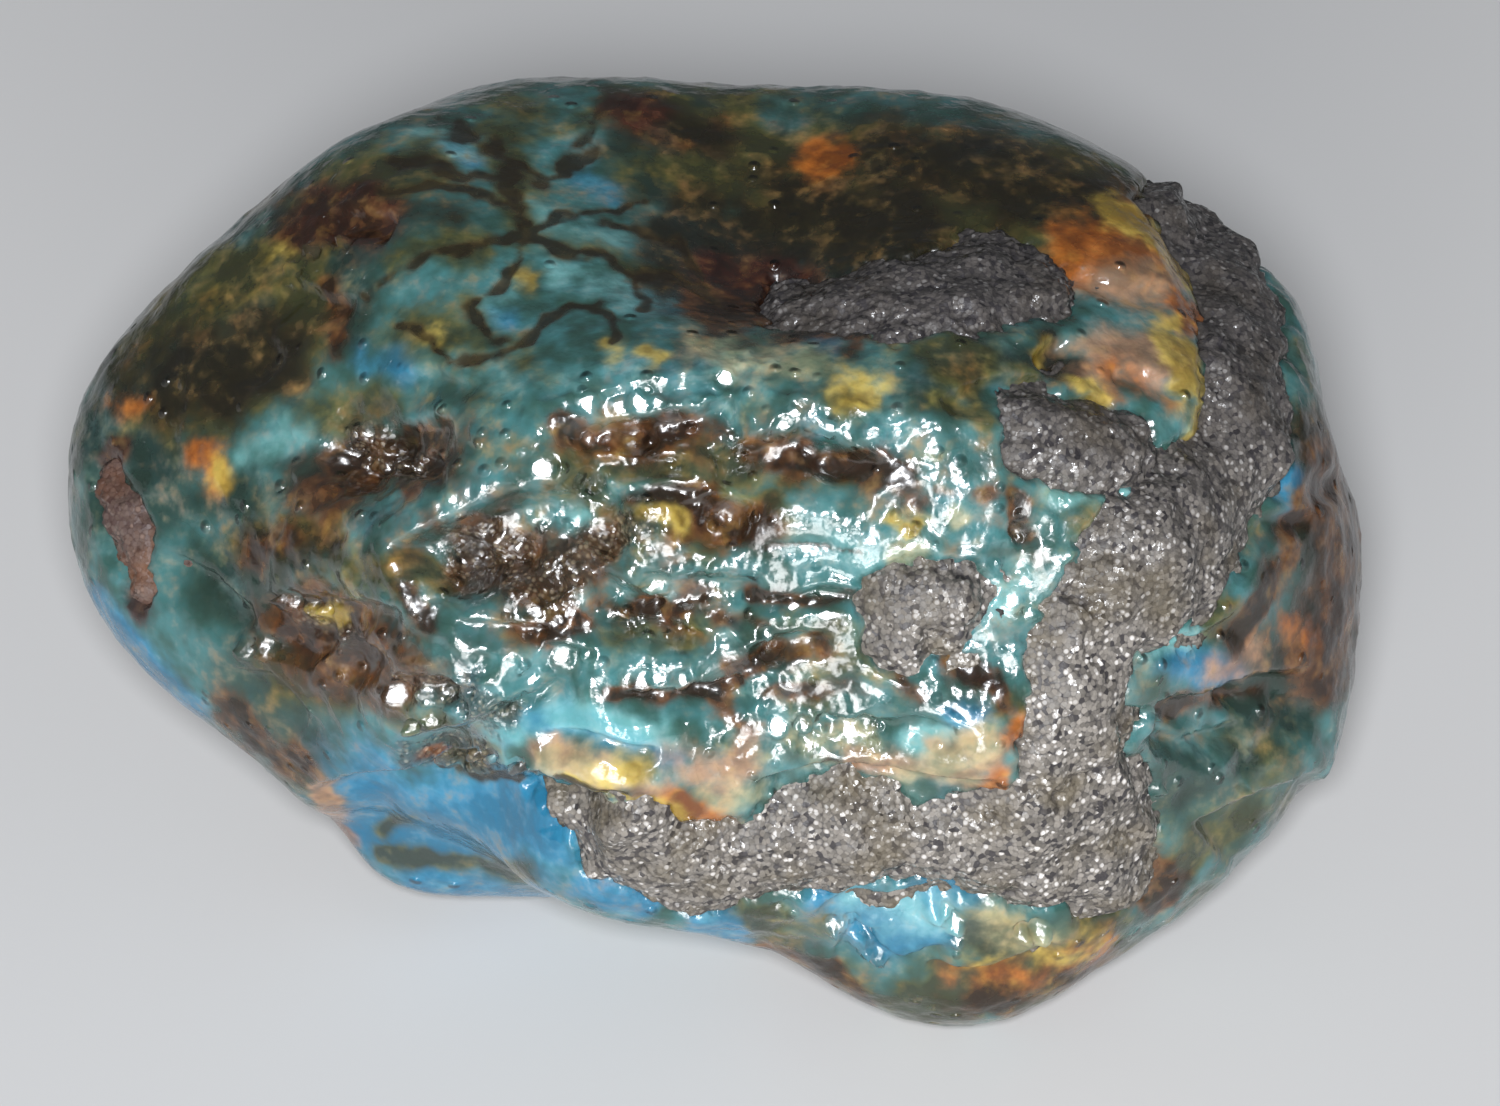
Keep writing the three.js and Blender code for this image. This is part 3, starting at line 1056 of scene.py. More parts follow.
STROKES: Mapping[Tint, tuple[Stroke, ...]] = {
    # Painted shade: these strokes darken the top, the left end and the right rim, where the light falls
    # away, with some darker amber between.
    Tint.PAINTED_SHADE_AND_DARK_TONE: (
        Stroke(((-1, 16), (5, 14), (13, 13.6)), 2.8, 1.2),
        Stroke(((-24, 3), (-21, 7.4), (-17.4, 11), (-15.6, 12.2)), 2.8, 1.1),
        Stroke(((-13.4, 12.4), (-10, 13)), 1.4, 0.6),
        Stroke(((-25, 4), (-23.6, 8)), 1.3, 1.1),
        Stroke(((-19.4, 10.4), (-15, 9.6)), 2.0, 1.2),
        Stroke(((-22, 1.4), (-18.4, 2), (-15, -0.6)), 1.2, 0.8),
        Stroke(((-19, -1.6), (-15.4, 1.4)), 2.0, 1.1),
        Stroke(((-18.6, -5), (-16.6, -8)), 1.6, 0.8),
        Stroke(((8, 6), (12.4, 7.4)), 1.4, 0.8),
        Stroke(((-8, -3.4), (-2, -2.6), (3, -4.4)), 0.7, 0.8),
        Stroke(((22.5, -6), (24.6, -2), (24.8, 4)), 1.8, 1.1),
        Stroke(((18.6, -9.6), (21.6, -8.4)), 1.6, 0.8),
    ),
    Tint.BLUE: (
        Stroke(((-14, -10.7), (-12, -11.2), (-9, -11), (-7.2, -11)), 2.2),
        Stroke(((-12, -13.8), (-9.5, -14.3), (-7.2, -14.4)), 0.7),
        Stroke(((-5.3, -13.6), (-3, -14.1)), 0.6),
        Stroke(((-13.8, 7.4), (-12.6, 7)), 0.7, 0.7),
        Stroke(((-10.8, 15.9), (-9.6, 15.5)), 0.5, 0.55),
        Stroke(((-5.8, 14.6), (-4, 14)), 0.5, 0.4),
        Stroke(((-2.6, 9.8), (-1.8, 9.4)), 0.6, 0.65),
        Stroke(((-8.7, 9.2), (-8.1, 8.8)), 0.5, 0.5),
        Stroke(((3.9, 7.8), (4.5, 7.6)), 0.5, 0.7),
        Stroke(((-25, -2.4), (-23, -4.8), (-21.2, -6.8)), 0.7, 0.9),
        Stroke(((4.5, -14.4), (7, -15.2), (9.3, -14.2)), 1.1),
        Stroke(((18, -5), (20, -5)), 0.7),
        Stroke(((22.8, 2.4), (23.1, 1.4)), 0.5),
        Stroke(((-9, -7.9), (-7.4, -7.1), (-6, -6.8), (-4, -7.2), (-1.8, -8.2)), 0.5, 0.9),
        Stroke(((-0.8, -15.3), (1.5, -15.3)), 0.6),
        Stroke(((9.4, -6.9), (10.8, -6.8)), 0.35, 0.7),
    ),
    Tint.PALE: (
        Stroke(((-18.4, 3.5), (-16, 4.9)), 0.6, 0.5),
        Stroke(((-17.5, 1.8), (-16, 1.5), (-14.5, 0.3)), 0.4, 0.45),
        Stroke(((2.2, 0.8), (4.2, 0.2), (6, -0.8)), 0.6, 0.3),
        Stroke(((-8.6, -7.5), (-6, -6.7), (-4, -6.8), (-2, -7.8)), 0.6, 0.8),
        Stroke(((-5.6, -1.8), (-5.4, 1.4)), 0.4),
        Stroke(((10.8, -3.6), (12, -1)), 0.5, 0.7),
        Stroke(((13, 2), (17, 2)), 0.4),
        Stroke(((17, -4), (19, -3.8)), 0.4, 0.8),
        Stroke(((7.6, -7.8), (9.4, -7.3)), 0.4, 0.65),
        Stroke(((-6.4, 12.2), (-3.8, 11.9)), 0.6, 0.5),
        Stroke(((-6, 10.5), (-4, 9.9)), 0.6, 0.5),
        Stroke(((-3.4, 9.5), (-0.8, 9)), 0.6, 0.75),
        Stroke(((-11.6, 16), (-9.6, 15.6)), 0.6, 0.7),
        Stroke(((-8.8, 9.4), (-8, 9.8)), 0.5, 0.5),
        Stroke(((-7.2, 13.6), (-6.8, 13)), 0.35, 0.55),
        Stroke(((5.6, -14.4), (9.2, -14.6)), 0.8, 0.6),
    ),
    Tint.OLIVE: (
        # The first two strokes are partly painted shade: they darken the top, where the light falls away,
        # as well as tinting it olive.
        Stroke(((-2, 16), (3, 14.8), (8, 13.8)), 2.2),
        Stroke(((6, 13), (10, 13.2), (15, 13.6)), 1.7),
        Stroke(((-11.8, 8), (-9.5, 8)), 1.0),
        Stroke(((-5.2, 2.9), (-2, 3), (1.2, 3)), 1.0, 1.3),
        Stroke(((-3.4, 1.2), (2, 1.2)), 1.0, 1.2),
        Stroke(((-18, -0.4), (-17, 0.8), (-15.4, 0.2)), 0.9, 1.1),
        Stroke(((-15.3, -1), (-12.6, -1.6)), 0.9),
        Stroke(((-17, -5.4), (-14.6, -5.8)), 0.9),
        Stroke(((-22.4, 9), (-19, 11.4)), 1.3),
        Stroke(((-16, 5.4), (-12, 5.8)), 0.8, 0.8),
        Stroke(((-17, -8.8), (-15.5, -10)), 0.6),
        Stroke(((2, -15.2), (4, -15)), 0.7),
        Stroke(((10.3, -15), (12, -15.4)), 0.9),
        Stroke(((21, 0.4), (23, 1.2)), 0.7),
        Stroke(((-9.4, 17), (-6, 17.2), (-3, 17.4)), 0.9, 0.8),
        Stroke(((-19, 11.6), (-15, 13.4), (-12, 15.4)), 1.2),
        Stroke(((7.6, -18.3), (12, -17.3), (15.6, -15.8)), 1.2, 1.2),
        Stroke(((5.5, -17.4), (8, -17.5)), 0.7, 0.8),
        Stroke(((-13.2, -11.5), (-12.1, -10.8)), 0.3, 0.8),
        Stroke(((-13.2, -12.5), (-10.6, -12.7), (-7.4, -13)), 0.4, 0.9),
        Stroke(((-23.5, 7.5), (-20, 10.5)), 1.0, 0.9),
        Stroke(((19.4, -1.4), (20.2, -3.2)), 0.6, 0.7),
        Stroke(((-8.9, 16), (-8, 14.2), (-7.5, 12.2)), 0.7, 0.8),
        Stroke(((-7.4, 12.2), (-4.8, 11.4), (-2, 10.4)), 0.5, 0.7),
        Stroke(((-9.6, 9.4), (-9, 8), (-7.6, 7.4)), 0.6, 0.7),
        Stroke(((-11.8, 8.6), (-10.6, 7.2)), 0.9, 0.85),
        Stroke(((-12.8, 11), (-9.4, 11.8)), 0.7, 0.75),
        Stroke(((1.6, -2.9), (4.8, -3)), 0.5, 0.7),
        Stroke(((8.6, 7.2), (12.4, 6.8)), 0.9, 0.9),
        Stroke(((8, 5.4), (10.6, 5)), 0.4, 0.7),
        Stroke(((4.6, 5.8), (7.4, 5.2)), 0.5, 0.7),
        Stroke(((1.6, 2.6), (4.6, 2.4)), 0.5, 0.8),
        Stroke(((-4.6, -3.6), (-1, -4)), 0.4, 0.8),
        Stroke(((4.6, -4.6), (7.4, -5.8)), 0.5, 0.7),
        Stroke(((10.2, -5.4), (11.6, -6.2)), 0.8, 0.8),
        Stroke(((-12, -0.6), (-10.6, -1.6)), 0.5, 0.8),
        Stroke(((-21.8, 5), (-18, 6), (-16.6, 9.4)), 1.4, 0.9),
        Stroke(((18.6, -12.4), (21.4, -10.6)), 0.8, 0.8),
        Stroke(((-13.6, -6.2), (-9.2, -8.4)), 0.5, 0.7),
    ),
    Tint.RIND: (
        Stroke(((-5.6, 3.9), (-3, 4.3), (-0.6, 4.5)), 0.75),
        Stroke(((1.8, 3.6), (4.4, 3.4), (6.2, 2.9), (7.4, 2)), 0.75),
        Stroke(((-3, 1.8), (-0.2, 1.8)), 0.4),
        Stroke(((-1, 0.7), (1.5, 0.6)), 0.9),
        Stroke(((-9.6, 0), (-8.2, -0.9), (-6.4, -0.5)), 1.7),
        Stroke(((-4.6, -2.1), (-2.4, -2.5), (-0.4, -2.2)), 0.5),
        Stroke(((1.6, -2.1), (5.6, -2.1)), 0.3),
        Stroke(((1, -4.9), (4, -3.8)), 0.45),
        Stroke(((-4, -5.6), (-2.2, -5.9), (0, -5.8), (1.2, -5.4)), 0.32),
        Stroke(((0.1, -6), (1.4, -7.2)), 0.45),
        Stroke(((-7.8, -3.4), (-5.4, -3.1)), 0.5),
        Stroke(((-0.4, 9), (2.6, 8.8)), 0.9),
        Stroke(((-15.1, 7.5), (-15.1, 10.2)), 0.45),
        Stroke(((-15.4, 2.4), (-13, 3.2), (-11.4, 3.2)), 1.3),
        Stroke(((-16.6, -3.4), (-13.2, -4.6)), 1.7),
        Stroke(((-18.2, -0.7), (-17, 0.4)), 0.5, 0.85),
        Stroke(((-19.5, -6.3), (-18, -8), (-16.5, -8.8)), 0.6),
        Stroke(((23.5, 1.8), (22.3, -0.8), (21.1, -2.4), (20.7, -4.2)), 0.45),
        Stroke(((21.8, -4.4), (24, -5.6)), 0.9, 0.8),
        Stroke(((17.8, -6.5), (20, -6.3), (21.5, -5.9)), 0.35),
        Stroke(((1.8, -16.3), (4.8, -16.9), (6, -18.3)), 0.5),
        Stroke(((17.2, -12.5), (18.2, -13.2), (17.4, -14.5)), 0.5),
        Stroke(((11.6, 1.5), (12.1, 0.5), (12.5, -0.5)), 0.4),
        Stroke(((24.3, 3), (25, -1), (24.5, -5)), 0.9),
        Stroke(((9.2, -4.6), (10.2, -5.4)), 0.5, 0.85),
        Stroke(((11.1, -5.3), (11.4, -6.3)), 0.35, 0.9),
        Stroke(((7.2, -5.2), (8, -6)), 0.4, 0.75),
        Stroke(((4.4, -8.5), (5.3, -8.8)), 0.35, 0.85),
        Stroke(((6.8, 2.8), (7.7, 1.5)), 0.5, 0.9),
        Stroke(((8.4, 2.2), (10.4, 1.6)), 0.3, 0.8),
        Stroke(((-1.4, -2.6), (1.8, -2.9)), 0.3, 0.8),
        Stroke(((2, -5.8), (5.4, -5.6)), 0.35, 0.8),
        Stroke(((-12.2, -2), (-11, -3.4)), 0.5, 0.8),
        Stroke(((2.4, 8.4), (5.4, 8.2)), 0.5, 0.8),
        Stroke(((9, -18.4), (12, -18), (15.8, -16.6)), 0.5, 0.9),
    ),
    # The strokes over the top and down the right rim are painted shade, where the light falls away; the
    # others are dark rind in pits and under the lips.
    Tint.UMBER: (
        Stroke(((-0.6, 11.4), (3, 12.4), (7, 12.2)), 2.2, 1.3),
        Stroke(((7, 15.4), (12, 14.6), (15.6, 13.4)), 1.5, 1.1),
        Stroke(((-21.6, 6.4), (-18.4, 7.6)), 1.9, 1.2),
        Stroke(((24.2, 4), (24.9, 0), (24.4, -5)), 1.2, 1.3),
        Stroke(((-3.4, 16.8), (0, 16.4)), 0.9, 0.8),
        Stroke(((-12.6, 13.4), (-10.6, 13)), 0.6, 0.6),
        Stroke(((23, -4.8), (24.8, -4), (25.4, 0)), 0.8, 0.9),
        Stroke(((-18, 0.2), (-15.8, 0)), 0.9, 0.85),
        Stroke(((17.4, -13), (18, -14)), 0.5, 0.9),
        Stroke(((-9.4, -0.2), (-7.4, -1.6)), 1.0, 0.95),
        Stroke(((-14.6, 3.2), (-12.6, 3)), 1.0, 0.9),
        Stroke(((-16.2, -3.6), (-13.6, -4.4)), 1.3, 1.0),
        Stroke(((-0.6, 0.8), (1.2, 0.6)), 0.6, 0.9),
        Stroke(((-4.4, 4.2), (-1.2, 4.5)), 0.4, 0.9),
        Stroke(((2.6, 3.5), (5.6, 3.2)), 0.4, 0.9),
        Stroke(((13, 7.8), (13.6, 7)), 0.6, 1.3),
    ),
    Tint.MAROON: (
        Stroke(((-16.3, 13), (-13.4, 13)), 1.2),
        Stroke(((-3.9, 17.4), (-2.9, 17.4)), 0.8),
        Stroke(((0.2, 10.4), (2.4, 10.2)), 1.2),
        Stroke(((-24.6, 3.2), (-24, 3.6)), 0.5, 0.9),
        Stroke(((-23.1, -2), (-22.8, -2.6)), 0.5, 0.8),
        Stroke(((9.2, -4.4), (10.8, -5.6)), 0.4),
    ),
    Tint.PINK: (
        Stroke(((5.4, -8.4), (8, -8.6), (10.6, -9.4)), 0.4, 0.9),
        Stroke(((9.8, -8.8), (11.4, -7.8)), 0.4, 0.7),
        Stroke(((15.6, 10.7), (17.6, 11)), 0.9, 1.1),
        Stroke(((15.2, 7.4), (17.8, 7.3)), 0.8, 1.1),
        Stroke(((-1.5, -8.4), (0.2, -9), (1.2, -8.2)), 0.8, 0.7),
        Stroke(((-7, -7.9), (-5, -8.5), (-3.4, -9), (-2.2, -10)), 0.5, 0.95),
        Stroke(((9.2, -8.2), (10.3, -7.8)), 0.5, 0.8),
        Stroke(((11, -8), (11.2, -9.4)), 0.4, 0.8),
        Stroke(((20, -4.9), (21.2, -4.5)), 0.5, 0.8),
        Stroke(((-15.6, -9.5), (-15, -12)), 0.4),
    ),
    Tint.PEARL: (
        Stroke(((11, -14.9), (14, -15.6)), 0.6, 0.6),
        Stroke(((-5.4, -8.5), (-2.9, -8.8)), 0.5, 0.75),
        Stroke(((-6.6, -8.5), (-5.4, -8.8)), 0.45, 0.8),
        Stroke(((-0.6, -9.6), (1.6, -9.8)), 0.5, 0.65),
        # painted highlight: pale amber stands for the glints along the shelf's edge
        Stroke(((3.4, -8), (6, -7.8)), 0.5, 0.6),
        Stroke(((7.4, -8.9), (9.4, -8.4), (10.6, -7.6)), 0.6, 0.75),
        Stroke(((8.6, -9.4), (10.2, -9.2)), 0.3, 0.65),
        Stroke(((-1, 7.6), (1.6, 7.2), (4.6, 6.8)), 0.5, 0.8),
        Stroke(((7.2, -0.4), (7.9, -0.4)), 0.4),
        Stroke(((7, 0.9), (7.6, 1.1), (8.2, 0.9)), 0.2),
        Stroke(((9.2, 1.1), (9.6, 0.9)), 0.25),
        Stroke(((17.5, 2.6), (17.9, 2.4)), 0.3),
        Stroke(((-4, -10.2), (-2, -10.9)), 0.25),
    ),
    Tint.RUST: (
        Stroke(((9.6, -17.2), (12.6, -16.9), (15.4, -15.6)), 0.5, 0.5),
        Stroke(((14, 11.8), (16, 12.3), (17.4, 12)), 0.9),
        Stroke(((18.3, 9.3), (18.7, 8.9)), 0.6),
        Stroke(((15.4, 6.6), (17.4, 5.8)), 0.6, 0.55),
        Stroke(((-23.7, 5.5), (-23.2, 5.5)), 0.5, 0.75),
        Stroke(((-20.3, 3.7), (-19.9, 3.2), (-19.8, 2.6)), 0.6, 0.8),
        Stroke(((-14.4, -5.7), (-13.5, -4.9), (-12.9, -4.3)), 0.16, 0.9),
        Stroke(((-1.5, -10.5), (-0.3, -10.9)), 0.65, 1.3),
        Stroke(((3.8, 15.5), (4.6, 15.5)), 0.7),
        Stroke(((11.3, -13.2), (11.7, -13.2)), 0.4),
        Stroke(((22.9, -3), (23.1, -3.4)), 0.6, 0.65),
        Stroke(((11.9, -7), (11.6, -8.3), (11, -9.6)), 0.45, 0.8),
        Stroke(((-11.4, -8.3), (-11.2, -8.3)), 0.25),
    ),
    Tint.GOLD: (
        Stroke(((10.6, -16.8), (13, -16.4), (15, -15.6)), 0.5, 0.45),
        Stroke(((-19.7, 3), (-19.5, 2.5)), 0.5, 0.66),
        Stroke(((15.6, 13.2), (17, 12.6), (18.5, 11.5), (19.2, 10.3)), 0.5, 1.2),
        Stroke(((17.8, 8.2), (18.7, 6.8), (19.2, 4.2)), 0.55, 1.3),
        Stroke(((-3.3, -8.6), (-3.1, -8.8)), 0.4, 0.85),
        Stroke(((-4.4, -9), (-4.1, -9.1)), 0.35, 0.65),
        Stroke(((-5.6, -9.1), (-3.6, -9.7), (-1.9, -10.5)), 0.16, 0.8),
        Stroke(((-2, -10.5), (-1.4, -10.9)), 0.42, 0.9),
        Stroke(((5.2, 6.4), (5.9, 6.2)), 0.6),
        Stroke(((14.3, 6.3), (15.3, 5.7)), 0.3),
        Stroke(((12.7, 7.7), (13, 7.4)), 0.35),
        Stroke(((-17.8, 11.7), (-17.2, 11.7)), 0.4, 0.65),
        Stroke(((-16, -2.9), (-15.6, -2.9)), 0.35),
        Stroke(((-4.2, 7.8), (-3.9, 7.6)), 0.4, 0.7),
        Stroke(((-2.6, 7.5), (-2.3, 7.3)), 0.4, 0.7),
        Stroke(((-7.5, 10.5), (-7.2, 10.3)), 0.4, 0.7),
        Stroke(((-11.1, 8.2), (-10.8, 8.1)), 0.35, 0.6),
        Stroke(((-2.6, 1.2), (-1.6, 1)), 0.4, 0.7),
        Stroke(((6.8, 0.9), (7.4, 0.5), (7.9, 0.9)), 0.2, 0.9),
    ),
    Tint.GRIT: (
        Stroke(((-5.5, -0.3), (-3.2, 0.6)), 0.7, 0.9),
        Stroke(((-9.8, -0.4), (-6.6, -1.4)), 1.0, 0.85),
        Stroke(((-12, -8.3), (-9.2, -8.3)), 0.5),
        Stroke(((-14.6, 4), (-12.4, 3.2)), 0.8, 0.85),
        Stroke(((-16.4, -3), (-14.4, -4)), 0.6, 0.45),
        Stroke(((-12, -5.4), (-8.4, -6.6)), 0.8, 0.8),
    ),
    Tint.CRACK: (
        Stroke(((-11, 16.8), (-8.8, 16), (-8.2, 14.8), (-7.8, 13.8), (-7.4, 12.2)), 0.32, 1.0),
        Stroke(((-7.4, 12.2), (-6, 11.6), (-4.6, 11.2), (-3.6, 10.6), (-1.4, 10.2), (0, 9.7)), 0.22, 0.95),
        Stroke(((-12.8, 15.4), (-11.4, 15), (-10, 14.5), (-8.2, 14.7)), 0.28, 0.95),
        Stroke(((-8, 15), (-7, 14.4), (-6, 15.2), (-4.8, 15.8)), 0.28, 0.95),
        Stroke(((-4.4, 12.8), (-2.6, 12.4), (-1.6, 11.8), (-0.8, 10.4), (-0.2, 9.8)), 0.18, 1.0),
        Stroke(((-7.4, 12.2), (-9, 12.2), (-10, 11.4), (-12, 10.8), (-13.6, 9.8)), 0.22, 0.9),
        Stroke(((-7.6, 12), (-7.8, 10.7), (-9.3, 9.8), (-9.7, 9.2), (-9.2, 8.5), (-8, 7.6)), 0.18, 0.9),
        Stroke(((-8, 7.6), (-7.2, 8), (-6.4, 8.8), (-5.4, 9.2), (-4.6, 9.3), (-3.9, 8)), 0.19, 0.95),
        Stroke(((-8, 7.6), (-9.2, 7.3), (-10.2, 7), (-11.2, 8), (-12.2, 8.6)), 0.18, 0.9),
        Stroke(((-3.2, 10.3), (-2.8, 9.2)), 0.2, 0.95),
        Stroke(((-7.4, 12.2), (-6, 13), (-4.4, 13.2), (-2.8, 13.6)), 0.17, 0.95),
        Stroke(((-8.2, 13.6), (-9.8, 13.9), (-11.6, 14.3), (-13.4, 14)), 0.18, 0.9),
        Stroke(((-6.4, 15.1), (-5.4, 16.2), (-4.6, 17.2)), 0.2, 0.9),
        Stroke(((-11, -8.9), (-7, -9.05), (-3.6, -9.5)), 0.16),
        Stroke(((2, -0.3), (3.6, 0.1), (5.6, -0.4)), 0.1, 0.8),
        Stroke(((-14.6, -5.9), (-13.6, -4.9), (-12.8, -4.2)), 0.26, 0.8),
    ),
}


@dataclass(frozen=True)
class AmberPaint:
    """Where the amber's tints lie on the display side.

    Attributes:
        strokes: each tint's strokes.
        mottles: how each tint breaks up.
        clean: where hardly any tint strays beyond its strokes.
        fade: out places between which the strokes fade in.
        bends: sizes of the noises that bend the strokes, and how strong they are.
        stray_kept: share of the stray mottling that is left where it is clean.
    """

    strokes: Mapping[Tint, tuple[Stroke, ...]] = field(default_factory=lambda: STROKES)
    mottles: Mapping[Tint, Mottle] = field(default_factory=lambda: {
        Tint.PAINTED_SHADE_AND_DARK_TONE: Mottle(3.4, 0.0, 1.25),
        Tint.BLUE: Mottle(3.2, 0.8, 0.45),
        Tint.PALE: Mottle(1.8, 0.8, 0.8),
        Tint.OLIVE: Mottle(3.0, 0.8, 1.15),
        Tint.RIND: Mottle(2.0, 0.9, 0.6),
        Tint.UMBER: Mottle(2.2, 0.8, 0.4),
        Tint.MAROON: Mottle(1.8, 0.8, 0.3),
        Tint.PINK: Mottle(1.4, 0.9, 0.2),
        Tint.PEARL: Mottle(1.4, 0.9, 0.3),
        Tint.RUST: Mottle(1.4, 1.3, 0.3),
        Tint.GOLD: Mottle(1.0, 1.4, 0.35),
        Tint.GRIT: Mottle(1.0, 0.9, 0.4),
        Tint.CRACK: Mottle(0.9, 1.5, 0.2),
    })
    clean: tuple[Stroke, ...] = (
        Stroke(((-14, -10.8), (-7.6, -11.4)), 2.4),
        Stroke(((2.4, 0.2), (6, -0.8)), 1.4),
        Stroke(((-5.6, -1.8), (-5.4, 1.4)), 0.5),
        Stroke(((-8, -7), (-4.6, -6.5), (-2, -7.2)), 0.9),
        Stroke(((-12, 13), (-8, 12), (-4, 11.6)), 2.6),
        Stroke(((0, 12.4), (6, 12.8), (12, 14)), 2.6),
        Stroke(((-22, 7), (-17, 7)), 2.2),
        Stroke(((-22.6, 1), (-18, 3)), 2.0),
        Stroke(((-20, -4), (-15, -7.4)), 2.2),
        Stroke(((23.8, 4), (24.4, -5)), 1.8),
        Stroke(((-10, 8.6), (-3, 8.4)), 1.2),
        Stroke(((-22, -2.5), (-19, -5.5)), 2.2),
        Stroke(((-17, -6.4), (-13.6, -8)), 1.1),
        Stroke(((-15.6, 6.4), (-11, 6.8)), 0.9),
        Stroke(((17.6, -3.8), (20.4, -4.2)), 1.1),
        Stroke(((17.6, -8.6), (20, -10.4)), 1.2),
        Stroke(((4.6, -14.4), (8, -15)), 1.2),
        Stroke(((14, 9), (17, 9)), 0.7),
    )
    fade: Point = (-7, -2)
    bends: tuple[Point, ...] = ((2.4, 1.2), (0.9, 0.8))
    stray_kept: float = 0.15

    def fields(self, places: Array, grain: Grain) -> dict[str, Array]:
        """Works out every tint.

        Args:
            places: rows of right, up and out.
            grain: the noise that bends and breaks up the strokes.

        Returns:
            The tints' fields at the places. Their edges are at one half.
        """
        bend = sum(
            share * bend_by(places + 9 * i, grain, size) for i, (size, share) in enumerate(self.bends)
        )
        bent = places[:, :2] + bend[:, :2]
        front = smooth(*self.fade, places[:, 2])
        wild = self._wild(places, grain)
        stray = 1 - (1 - self.stray_kept) * np.minimum(covered(self.clean, bent), 1)
        result = {}
        for shift, (tint, mottle) in enumerate(self.mottles.items(), 3):
            drawn = covered(self.strokes[tint], bent)
            breaks = grain.layers(places + shift * 13, mottle.size, 3)
            shown = drawn * (1.15 + mottle.within * breaks) + mottle.beyond * breaks * stray
            result[tint.value] = shown * front + wild[tint] * (1 - front)
        return result

    def _wild(self, places: Array, grain: Grain) -> dict[Tint, Array]:
        """Works out the tints of the sides and back, which follow no strokes.

        Args:
            places: rows of right, up and out.
            grain: the noise that they follow.

        Returns:
            Each tint's field at the places.
        """
        broad = grain.layers(places, 9, 4)
        middle = grain.layers(places + 31, 4, 4)
        near, second, _ = grain.cells(places + 3 * bend_by(places, grain, 3), 5.5)
        specks = grain.layers(places + 53, 5, 4)
        return {
            Tint.PAINTED_SHADE_AND_DARK_TONE: smooth(-0.2, 0.3, middle + broad) * 0.8,
            Tint.BLUE: smooth(0.1, 0.5, middle) * 0.8,
            Tint.PALE: smooth(0.3, 0.6, grain.layers(places + 71, 3, 3)) * 0.8,
            Tint.OLIVE: smooth(-0.1, 0.3, broad) * 0.9,
            Tint.RIND: smooth(0.0, 0.35, middle * 0.5 - broad),
            Tint.UMBER: smooth(0.1, 0.5, -middle) * 0.8,
            Tint.MAROON: smooth(0.3, 0.5, grain.layers(places + 19, 6, 3)) * 0.8,
            Tint.PINK: np.zeros(len(places)),
            Tint.PEARL: np.zeros(len(places)),
            Tint.RUST: smooth(0.25, 0.5, specks) * 0.8,
            Tint.GOLD: smooth(0.4, 0.6, specks) * 0.8,
            Tint.GRIT: smooth(0.4, 0.6, grain.layers(places + 91, 3.4, 4)) * 0.8,
            Tint.CRACK: (1 - smooth(0.02, 0.1, second - near)) * smooth(-0.2, 0.2, middle) * 0.9,
        }


def bend_by(places: Array, grain: Grain, size: float) -> Array:
    """Three soft noises of a size that bend places out of line, by up to 0.3 each way."""
    return np.stack([grain.waves(places + shift, size) for shift in (5, 17, 29)], axis=1) * 0.3


def dish(near: Array, edge: float) -> Array:
    """A round hollow about each seed: 1 deep at the seed and level from the edge on."""
    return (np.minimum(near, edge) / edge) ** 2 - 1


@dataclass(frozen=True)
class FlatRow:
    """A row of small flats that face straight out and catch the light.

    Attributes:
        line: its points, right and up.
        count: number of flats.
        radius: radius of the largest flat.
        spread: how far the flats lie off the line.
    """

    line: tuple[Point, ...]
    count: int
    radius: float
    spread: float = 0.12

    def flats(self, random: np.random.Generator) -> list[tuple[float, float, float]]:
        """Places the flats.

        Args:
            random: the draws that scatter them.

        Returns:
            Each flat's right, up and radius.
        """
        points = np.array(self.line)
        lengths = np.linalg.norm(np.diff(points, axis=0), axis=1)
        marks = np.concatenate([[0], np.cumsum(lengths)])
        at = (np.arange(self.count) + random.uniform(0.2, 0.8, self.count)) / self.count * marks[-1]
        right = np.interp(at, marks, points[:, 0]) + random.normal(0, self.spread, self.count)
        up = np.interp(at, marks, points[:, 1]) + random.normal(0, self.spread, self.count)
        radii = self.radius * random.uniform(0.5, 1.0, self.count)
        return list(zip(right, up, radii))


